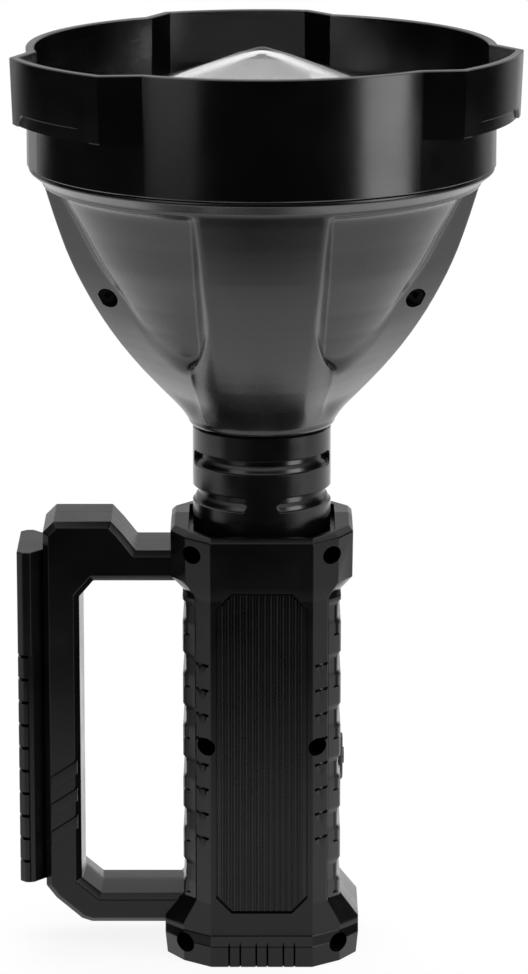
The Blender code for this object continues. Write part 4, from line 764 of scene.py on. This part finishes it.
# Side lamp housing: a rail of satin black plastic on the handle's back, with ten square teeth along each
# side below a plain upper end, and a V valley across its back at each slot. It frames the frosted strip.
lamp_plastic = finish("side lamp plastic", *abs_black, 0.25, 0.06, 1500.0, 0.02 * mm, shine=0.22)
strip_low = 23.5 * mm
strip_high = 134.9 * mm
strip_plan = [(-79.0, -13.5), (-77.1, -15.4), (-74.6, -15.4), (-70.4, -10.4), (-70.4, 10.4), (-74.6, 15.4),
              (-77.1, 15.4), (-79.0, 13.5)]
rail_round = 0.4 * mm
tooth_count = 10
tooth_pitch = 7.7 * mm
tooth_first = 100.1 * mm
tooth_round = 0.25 * mm
slot_end = -75.6 * mm
slot_bend = -78.4 * mm
past_rail = -81.0 * mm
past_side = 17.0 * mm
slot_inner = 10.9 * mm
slot_half = 0.5 * mm
slot_mouth = 1.0 * mm
valley_foot = -77.9 * mm
slot_valley = 1.1 * mm
shelf_back = -77.0 * mm
shelf_front = -74.0 * mm
shelf_slope = -75.4 * mm
shelf_side = 14.7 * mm
lamp_gap = 0.3 * mm
lamp_front = -76.0 * mm
lamp_past = -82.0 * mm
rail = slab([(x * mm, y * mm) for x, y in strip_plan], strip_low, strip_high, 'Z')
round_edges(rail, rail_round, 2, 20.0)
tooth_slots = []
valleys = []
for step in range(tooth_count):
    middle = tooth_first - tooth_pitch * step
    outline = [(slot_end, middle - slot_half), (slot_end, middle + slot_half),
               (slot_bend, middle + slot_half), (past_rail, middle + slot_mouth + slot_half),
               (past_rail, middle - slot_mouth - slot_half), (slot_bend, middle - slot_half)]
    tooth_slots += [slab(outline, *sorted((side * slot_inner, side * past_side)), 'Y') for side in (-1, 1)]
    outline = [(valley_foot, middle - slot_valley / 5), (valley_foot, middle + slot_valley / 5),
               (past_rail, middle + slot_valley * 1.5), (past_rail, middle - slot_valley * 1.5)]
    valleys.append(slab(outline, -past_side, past_side, 'Y'))
rail = carve(tidy(rail), join(*tooth_slots))
rail = carve(tidy(rail), join(*valleys))
tooth_rims = [edge for edge in rail.edges if edge.is_manifold and edge.calc_face_angle() > math.radians(50.0)
              and all(abs(v.co.y) > slot_inner - 0.1 * mm and strip_low + mm < v.co.z < tooth_first + 2 * mm
                      for v in edge.verts)]
bevel(rail, tooth_rims, tooth_round)
shelves = [slab([(shelf_back, side * past_side), (shelf_front, side * past_side),
                 (shelf_front, side * shelf_side), (shelf_slope, side * shelf_side)],
                strip_low - mm, tooth_first + slot_half, 'Z') for side in (-1, 1)]
rail = carve(tidy(rail), join(*shelves))
lamp_low, lamp_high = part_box("side_lamp_diffuser")
rail = carve(rail, block((lamp_past, lamp_low.y - lamp_gap, lamp_low.z - lamp_gap),
                         (lamp_front + lamp_gap, lamp_high.y + lamp_gap, lamp_high.z + lamp_gap)))
place("lamp_rail", rail, lamp_plastic, "torch", "lamp_housing_plastic", "side_lamp_housing")

# Neck: the heat sink, turned from aluminium and anodised black, with two slots in each of two rows.
# Its foot stands in the body's pocket and its throat goes up into the bell.
anodised = finish("black anodised aluminium", (0.002, 0.002, 0.0022), (0.003, 0.003, 0.0033), 0.22, 0.06,
                  3600.0, 0.008 * mm, 90.0)
neck_profile = [(4.0, 182.0), (20.4, 182.0), (20.6, 181.8), (20.6, 178.6), (17.5, 178.6), (17.5, 174.2),
                (21.9, 174.2), (22.3, 173.8), (22.3, 141.0), (21.9, 140.6), (15.0, 140.6), (15.0, 137.0),
                (17.4, 137.0), (17.4, 134.0), (4.0, 134.0)]
neck_steps = 144
neck_skin = 22.3 * mm
slot_floor = 20.3 * mm
slot_out = 26.0 * mm
slot_steps = 120
slot_end_share = 0.4
slot_half_sweep = math.radians(78.0)


def turned(profile, steps=neck_steps, closed=True):
    """A profile of (radius, height) in millimetres, turned all the way round Z."""
    shape = bmesh.new()
    row = [shape.verts.new((radius * mm, 0.0, height * mm)) for radius, height in profile]
    edges = [shape.edges.new(pair) for pair in zip(row, row[1:])]
    if closed:
        edges.append(shape.edges.new((row[-1], row[0])))
    bmesh.ops.spin(shape, geom=row + edges, cent=(0, 0, 0), axis=(0, 0, 1), dvec=(0, 0, 0), angle=math.tau,
                   steps=steps, use_merge=True, use_duplicate=False)
    return tidy(shape)


def slot_tool(low, high, start, sweep):
    """What one slot takes out of the neck: deep under its top, a ramp below, and rounded ends."""
    rings = []
    profile = ((slot_floor, high - 0.7 * mm), (slot_floor + 0.5 * mm, high - 0.2 * mm), (22.0 * mm, high),
               (neck_skin, high + 0.3 * mm), (slot_out, high + 0.3 * mm), (slot_out, low - 0.3 * mm),
               (neck_skin, low - 0.3 * mm), (22.0 * mm, low + 0.05 * mm), (21.75 * mm, low + 0.15 * mm),
               (21.55 * mm, low + 0.45 * mm), (21.4 * mm, low + 1.0 * mm), (21.1 * mm, low + 1.7 * mm),
               (slot_floor + 0.1 * mm, low + 2.6 * mm))
    middle = (low + high) / 2
    round_sweep = (high - low) / 2 / neck_skin
    for step in range(slot_steps + 1):
        turn = sweep * step / slot_steps
        near_end = min(turn, sweep - turn)
        part = 1.0
        if near_end < round_sweep:
            round_share = math.sqrt(max(0.0, 1.0 - (1.0 - near_end / round_sweep) ** 2))
            part = slot_end_share + (1.0 - slot_end_share) * round_share
        rings.append([(radius * math.cos(start + turn), radius * math.sin(start + turn),
                       middle + (height - middle) * part) for radius, height in profile])
    return tidy(loft(rings))


neck = turned(neck_profile)
for slot_low, slot_high, first in ((162.0, 166.6, math.pi / 2), (149.7, 154.5, 0.0)):
    tools = [slot_tool(slot_low * mm, slot_high * mm, first + turn - slot_half_sweep, slot_half_sweep * 2)
             for turn in (0.0, math.pi)]
    neck = carve(neck, join(*tools))
place("neck", tidy(neck), anodised, "torch", "neck_metal", "neck_heatsink")

# Bell: two satin black mouldings that meet behind the axis, screwed together from the front. Deep pockets
# sink the front and the rear on both sides of a rib that widens upwards, and end above the neck in round
# tips. Its lengths here are in millimetres.
bell_plastic = finish("satin black plastic", (0.0028, 0.0028, 0.0032), (0.004, 0.004, 0.0045), 0.27, 0.05,
                      2600.0, 0.012 * mm)
mouth_radius = 70.2
mouth_height = 254.8
collar_height = 176.7
bell_curve = ((1.0, 1.0), (0.950, 0.984), (0.900, 0.967), (0.850, 0.950), (0.800, 0.932), (0.750, 0.913),
              (0.700, 0.893), (0.650, 0.870), (0.600, 0.845), (0.550, 0.817), (0.500, 0.787), (0.450, 0.755),
              (0.400, 0.720), (0.350, 0.682), (0.300, 0.641), (0.250, 0.596), (0.200, 0.548), (0.160, 0.506),
              (0.120, 0.463), (0.090, 0.430), (0.060, 0.397), (0.030, 0.366), (0.0, 0.339))
pocket_shares = ((176.7, 0.90, 62.0), (190.0, 0.84, 59.0), (199.0, 0.825, 57.0), (210.0, 0.825, 56.0),
                 (218.0, 0.838, 54.0), (224.0, 0.856, 52.0), (230.0, 0.878, 50.0), (240.0, 0.905, 50.0),
                 (250.0, 0.940, 50.0), (254.8, 0.965, 50.0))
rib_halves = ((176.7, 14.6, 8.5), (186.5, 13.8, 9.5), (198.5, 14.3, 9.5), (216.5, 15.9, 8.5),
              (234.0, 17.6, 6.5), (250.5, 19.4, 4.2), (254.8, 19.6, 3.6))
pocket_low = 199.0
pocket_high = 252.8
flange_half = 1.6
tip_place = 28.0
tip_round = 0.12
tip_climb = 0.038
tip_fade = 3.0
shelf_share = 0.905
shelf_turn = math.radians(45.0)
strap_step_share = 0.012
strap_soft_share = 0.006
flange_soft = 0.3
mouth_fades = (0.4, 0.8)
collar_fades = (1.0, 9.0)
bell_wall = 2.6
bell_steps = 600
side_crowding = 0.45


def between(table, key):
    """The values of a table of rows at a key, in proportion between its two nearest rows."""
    rows = sorted(table)
    for below, above in zip(rows, rows[1:]):
        if key <= above[0]:
            share = max(0.0, (key - below[0]) / (above[0] - below[0]))
            return [a + (b - a) * share for a, b in zip(below[1:], above[1:])]
    return list(rows[-1][1:])


def bell_radius(height):
    """The bell's outer radius at a height, in millimetres."""
    return mouth_radius * between(bell_curve, (height - collar_height) / (mouth_height - collar_height))[0]


def soft_max(a, b, soft):
    """The greater of two values, with the bend between them rounded."""
    return (a + b + math.sqrt((a - b) ** 2 + soft * soft)) / 2


def sunk(point):
    """Where a point of the bell's skin goes: the rib and the flanges' edges stand, all between is sunk."""
    height = point.z / mm
    radius = point.xy.length / mm
    pocket, turn = between(pocket_shares, height)
    turn = math.radians(turn)
    off_rib = abs(point.x) / mm
    behind = soft_max(0.0, abs(point.y - split) / mm - flange_half, flange_soft)
    place_turn = math.atan2(behind, off_rib)
    facet = math.sin(turn) / math.sin(turn + place_turn)
    inward = max(0.0, tip_place - off_rib)
    outward = max(0.0, off_rib - tip_place)
    tip = pocket_low + tip_round * inward ** 2 + tip_climb * outward ** 2
    above = soft_step(height, tip - tip_fade, tip + tip_fade)
    if place_turn > shelf_turn:
        facet = min(facet, shelf_share)
    strap = soft_max(facet, pocket - strap_step_share, strap_soft_share)
    drop = radius * (1.0 - min(1.0, strap * (1.0 - above) + pocket * above))
    rib, wall = between(rib_halves, height)
    drop *= firm_step(off_rib, rib, rib + wall)
    drop *= 1.0 - soft_step(height, pocket_high - mouth_fades[0], pocket_high + mouth_fades[1])
    drop *= soft_step(height, collar_height - collar_fades[0], collar_height + collar_fades[1])
    shrink = (radius - drop) / radius
    return Vector((point.x * shrink, point.y * shrink, point.z))


skin_rows = 88
bell_profile = [(68.7, 267.4), (69.0, 267.7), (71.2, 267.7), (71.5, 267.4), (71.5, 259.3), (73.8, 259.3),
                (74.1, 259.0), (74.1, 258.3), (73.85, 257.9), (70.6, 255.2), (70.2, 254.7)]
skin_heights = [mouth_height - 0.3 - (mouth_height - 0.3 - collar_height) * step / skin_rows
                for step in range(1, skin_rows + 1)]
bell_profile += [(bell_radius(height), height) for height in skin_heights]
bell_profile += [(23.7, 176.2), (23.4, 175.6), (22.9, 175.0), (22.3, 174.7), (21.9, 174.55), (17.8, 174.5),
                 (17.8, 178.3), (22.0, 178.3)]
inner_heights = [182.0, 188.0, 195.0, 205.0, 215.0, 225.0, 235.0, 245.0]
bell_profile += [(bell_radius(height) * between(pocket_shares, height)[0] - bell_wall, height)
                 for height in inner_heights]
bell_profile += [(62.0, 254.8), (68.7, 259.3)]
bell = turned(bell_profile, bell_steps)
for vertex in bell.verts:
    place_turn = math.atan2(vertex.co.y, vertex.co.x)
    vertex.co.rotate(Matrix.Rotation(-side_crowding / 2 * math.sin(2 * place_turn), 3, 'Z'))
    height = vertex.co.z / mm
    if collar_height < height < mouth_height - 0.2 and vertex.co.xy.length / mm > bell_radius(height) - 0.3:
        vertex.co = sunk(vertex.co)
bell_hole_radius = 3.3 * mm
bell_hole_start = -80.0 * mm
bell_hole_x = 49.0 * mm
bell_hole_z = 217.4 * mm
bell_holes = [rod(bell_hole_radius, bell_hole_start, hole_floor, (side * bell_hole_x, bell_hole_z))
              for side in (-1, 1)]
front_bell = carve(join(bell.copy()), block((-room_size, split - half_gap, 0.0),
                                            (room_size, room_size, room_size * 2)))
front_bell = carve(front_bell, join(*bell_holes))
rear_bell = carve(bell, block((-room_size, -room_size, 0.0), (room_size, split + half_gap, room_size * 2)))
place("front_bell", front_bell, bell_plastic, "torch", "bell_plastic", "bell_front_shell", smooth=70.0)
place("rear_bell", rear_bell, bell_plastic, "torch", "bell_plastic", "bell_rear_shell", smooth=70.0)

# Bezel: a screw-on ring of semi-gloss black plastic with three bumper lobes, each with a shallow relief
# along its lower edge. Its inner shoulder holds the lens down. Its lengths here are in millimetres.
gloss_plastic = finish("semi-gloss black plastic", *deep_black, 0.20, 0.05, 3600.0, 0.010 * mm)
band_radius = 74.7
lobe_reach = 8.3
lobe_turn = 96.0
lobe_half = 17.0
lobe_foot = 24.9
wall = 2.7
draft = 0.8
rim_bevel = 0.3
bezel_bottom = 259.6
bezel_top = 297.0
lobe_bottom = 275.8
shoulder_top = 277.5
shoulder_low = 274.1
shoulder_inset = 8.7
lobe_round = 0.35
relief_half = math.radians(15.0)
relief_height = 3.9
relief_depth = 1.2
relief_chamfer = 0.35
relief_fade = 0.075
lobe_steps = 36
band_steps = 72


def at_turn(radius, degrees):
    """The point in plan at a radius and a turn."""
    return Vector((math.cos(math.radians(degrees)), math.sin(math.radians(degrees)))) * radius


def bezel_plan(height, inset, reach):
    """The bezel's plan at a height: its wall moved in by inset, its lobes out by reach."""
    tip = at_turn(band_radius + reach, lobe_half)
    foot = at_turn(band_radius, lobe_foot)
    along = (foot - tip).normalized() if reach else Vector((0.0, 1.0))
    start = tip - Vector((along.y, -along.x)) * inset
    turns = []
    for radius, near in ((band_radius + reach - inset, tip), (band_radius - inset, foot)):
        half = start.dot(along)
        spread = math.sqrt(max(0.0, half * half - start.length_squared + radius * radius))
        ends = [start + along * (spread - half), start - along * (spread + half)]
        best = min(ends, key=lambda end: (end - near).length)
        turns.append(math.degrees(math.atan2(best.y, best.x)))
    if not reach:
        turns = [lobe_half, lobe_foot]
    points = []
    for lobe in range(3):
        middle = lobe_turn + 120.0 * lobe
        sweep = [(band_radius + reach - inset, middle - turns[0] + 2 * turns[0] * step / lobe_steps)
                 for step in range(lobe_steps + 1)]
        sweep += [(band_radius - inset, middle + turns[1] + (120.0 - 2 * turns[1]) * step / band_steps)
                  for step in range(band_steps + 1)]
        points += [(radius * mm * math.cos(math.radians(turn)), radius * mm * math.sin(math.radians(turn)),
                    height * mm) for radius, turn in sweep]
    return points


levels = ((bezel_bottom, rim_bevel, 0.0), (bezel_bottom + rim_bevel, 0.0, 0.0), (lobe_bottom, 0.0, 0.0),
          (lobe_bottom, 0.0, lobe_reach - draft), (bezel_top - rim_bevel, 0.0, lobe_reach),
          (bezel_top, rim_bevel, lobe_reach), (bezel_top, wall - rim_bevel, lobe_reach),
          (bezel_top - rim_bevel, wall, lobe_reach), (shoulder_top, wall, lobe_reach),
          (shoulder_top, shoulder_inset - rim_bevel, 0.0), (shoulder_top - rim_bevel, shoulder_inset, 0.0),
          (shoulder_low, shoulder_inset, 0.0), (shoulder_low, wall, 0.0), (bezel_bottom, wall, 0.0))
bezel = tidy(loft([bezel_plan(*level) for level in levels], closed=True), 0.02 * mm)
lobe_rims = [edge for edge in bezel.edges if edge.is_manifold
             and all(abs(v.co.z - lobe_bottom * mm) < 0.05 * mm
                     and v.co.xy.length > (band_radius + 0.4) * mm for v in edge.verts)
             and edge.calc_face_angle() > math.radians(40.0)]
bevel(bezel, lobe_rims, lobe_round * mm)
lobe_face = band_radius + lobe_reach - draft
relief_floor = lobe_face - relief_depth
relief_top = lobe_bottom + relief_height
relief_profile = ((relief_floor, 270.0), (90.0, 270.0), (90.0, relief_top + relief_chamfer + 8.0),
                  (lobe_face + 0.2, relief_top + relief_chamfer), (lobe_face - relief_chamfer, relief_top),
                  (relief_floor + 0.3, relief_top))
reliefs = []
for lobe in range(3):
    middle = math.radians(lobe_turn + 120.0 * lobe)
    tool = bmesh.new()
    start = middle - relief_half
    face = tool.faces.new([tool.verts.new((radius * math.cos(start) * mm, radius * math.sin(start) * mm,
                                           height * mm)) for radius, height in relief_profile])
    bmesh.ops.spin(tool, geom=[face], cent=(0, 0, 0), axis=(0, 0, 1), dvec=(0, 0, 0), angle=relief_half * 2,
                   steps=48, use_merge=False, use_duplicate=False)
    for vertex in tool.verts:
        turn = math.atan2(vertex.co.y, vertex.co.x) - middle
        turn = (turn + math.pi) % math.tau - math.pi
        if vertex.co.z > (lobe_bottom - 0.8) * mm:
            end = soft_step(abs(turn), relief_half - relief_fade, relief_half)
            vertex.co.z -= end * (relief_height + relief_chamfer + 0.1) * mm
    reliefs.append(tidy(tool))
bezel = carve(tidy(bezel), join(*reliefs))
place("bezel", tidy(bezel), gloss_plastic, "torch", "bezel_plastic", "bezel_ring", smooth=30.0)

# Optics under the bezel: a clear polycarbonate cone, its silicone gasket, a vacuum-plated reflector, a
# white spacer and the emitter on its board. The cone is thick, and bends the white room into soft bands.


def lens_clear():
    """Clear polycarbonate, polished a little unevenly."""
    made = bpy.data.materials.new("clear polycarbonate")
    made.use_nodes = True
    tree = made.node_tree
    where = add_node(tree, 'TexCoord').outputs["Object"]
    smear = add_node(tree, 'TexNoise', {"Vector": where, "Scale": 70.0, "Detail": 3.0})
    polish = ramp(tree, smear.outputs["Fac"], 0.0, 1.0, 0.02, 0.09, 'LINEAR')
    wire(tree, tree.nodes["Principled BSDF"], {"Base Color": white, "Transmission Weight": 1.0, "IOR": 1.58,
                                               "Roughness": polish})
    return made


cone_profile = [(0.0, 296.35), (1.2, 296.25), (2.6, 295.85), (4.2, 295.25), (7.0, 294.6), (65.6, 273.9),
                (66.0, 273.7), (69.4, 273.7), (69.6, 273.5), (69.6, 271.4), (69.4, 271.3), (62.6, 271.3),
                (7.0, 291.4), (3.0, 292.7), (0.0, 293.2)]
lens = turned(cone_profile, 180, closed=False)
place("cone_lens", lens, lens_clear(), "torch", "lens_clear", "front_lens", smooth=60.0)

plating = finish("vacuum-plated mirror", (0.86, 0.86, 0.88), (0.90, 0.90, 0.91), 0.07, 0.03, 300.0, 0.02 * mm,
                 40.0, 1.0)
throat_height = 187.1
throat_radius = 9.6
dish_height = 269.5
dish_radius = 66.0
dish_power = 1.6
dish_steps = 40
dish_wall = 1.2
dish_shares = [(step / dish_steps) ** dish_power for step in range(dish_steps + 1)]
dish = [(math.sqrt(throat_radius ** 2 + (dish_radius ** 2 - throat_radius ** 2) * share),
         throat_height + (dish_height - throat_height) * share) for share in dish_shares]
dish_back = [(radius + dish_wall, height) for radius, height in reversed(dish) if height < dish_height - 2.0]
bowl = turned(dish + [(71.2, dish_height), (71.2, 268.0), (67.6, 268.0)] + dish_back, 180)
place("reflector_bowl", bowl, plating, "torch", "reflector_mirror", "reflector", smooth=45.0)

phosphor = finish("yellow phosphor", (0.80, 0.58, 0.10), (0.86, 0.66, 0.14), 0.30, 0.05, 900.0, 0.02 * mm)
led_half = 3.5 * mm
led_low = 184.2 * mm
led_high = 184.8 * mm
led_round = 0.15 * mm
dome_radius = 2.9
dome_foot = 184.4
dome_rise = 1.0
dome_steps = 12
led = block((-led_half, -led_half, led_low), (led_half, led_half, led_high))
round_edges(led, led_round, 2, 60.0)
dome_turns = [math.pi / 2 * step / dome_steps for step in range(dome_steps + 1)]
dome = turned([(dome_radius * math.sin(turn), dome_foot + dome_rise * math.cos(turn)) for turn in dome_turns]
              + [(0.0, dome_foot)], 48, closed=False)
place("emitter_die", join(tidy(led), dome), phosphor, "torch", "led_phosphor", "led_emitter")

# Pieces that keep their CAD shape: they get the finish of the real ones. The screws are blackened steel,
# the cells wear blue shrink wrap, and the boards are fibreglass or white-masked aluminium.
blackened = finish("blackened steel", (0.022, 0.022, 0.022), (0.045, 0.043, 0.042), 0.36, 0.10, 1400.0,
                   0.02 * mm, 500.0, 0.9)
board_green = ((0.015, 0.085, 0.030), (0.030, 0.130, 0.050))
kept_finishes = {
    "lens_gasket": finish("black silicone", (0.015, 0.015, 0.015), (0.022, 0.022, 0.022), 0.65, 0.1, 900.0,
                          0.03 * mm),
    "emitter_spacer": finish("white nylon", (0.78, 0.78, 0.75), (0.84, 0.84, 0.82), 0.50, 0.1, 1200.0,
                             0.03 * mm),
    "emitter_board": finish("white solder mask", (0.70, 0.70, 0.68), (0.76, 0.76, 0.74), 0.40, 0.1, 1500.0,
                            0.02 * mm),
    "driver_board": finish("driver solder mask", *board_green, 0.38, 0.1, 1500.0, 0.03 * mm, 500.0),
    "switch_board": finish("switch solder mask", *board_green, 0.38, 0.1, 1500.0, 0.03 * mm, 500.0),
    "charge_port": finish("nickel-plated steel", (0.50, 0.50, 0.50), (0.62, 0.61, 0.60), 0.26, 0.1, 1400.0,
                          0.01 * mm, 300.0, 1.0),
    "side_lamp_board": finish("lamp phosphor strip", (0.78, 0.66, 0.22), (0.84, 0.74, 0.30), 0.45, 0.1,
                              900.0, 0.05 * mm, 400.0),
    "side_lamp_diffuser": finish("frosted strip", (0.74, 0.73, 0.66), (0.80, 0.79, 0.73), 0.42, 0.12, 1300.0,
                                 0.06 * mm),
}
fibre = finish("pressed fibre", (0.22, 0.19, 0.13), (0.28, 0.24, 0.17), 0.75, 0.1, 1100.0, 0.12 * mm, 300.0)
wrap = finish("blue shrink wrap", (0.02, 0.09, 0.27), (0.03, 0.13, 0.34), 0.30, 0.1, 700.0, 0.03 * mm)
for name in ("battery_tray", "battery_contact_plate"):
    kept_finishes[name] = fibre
for number in range(1, 5):
    kept_finishes[f"battery_cell_{number}"] = wrap
for name in nodes:
    if "_screw_" in name:
        kept_finishes[name] = blackened
for name, material in kept_finishes.items():
    mesh = nodes[name].data
    mesh.materials.clear()
    mesh.materials.append(material)
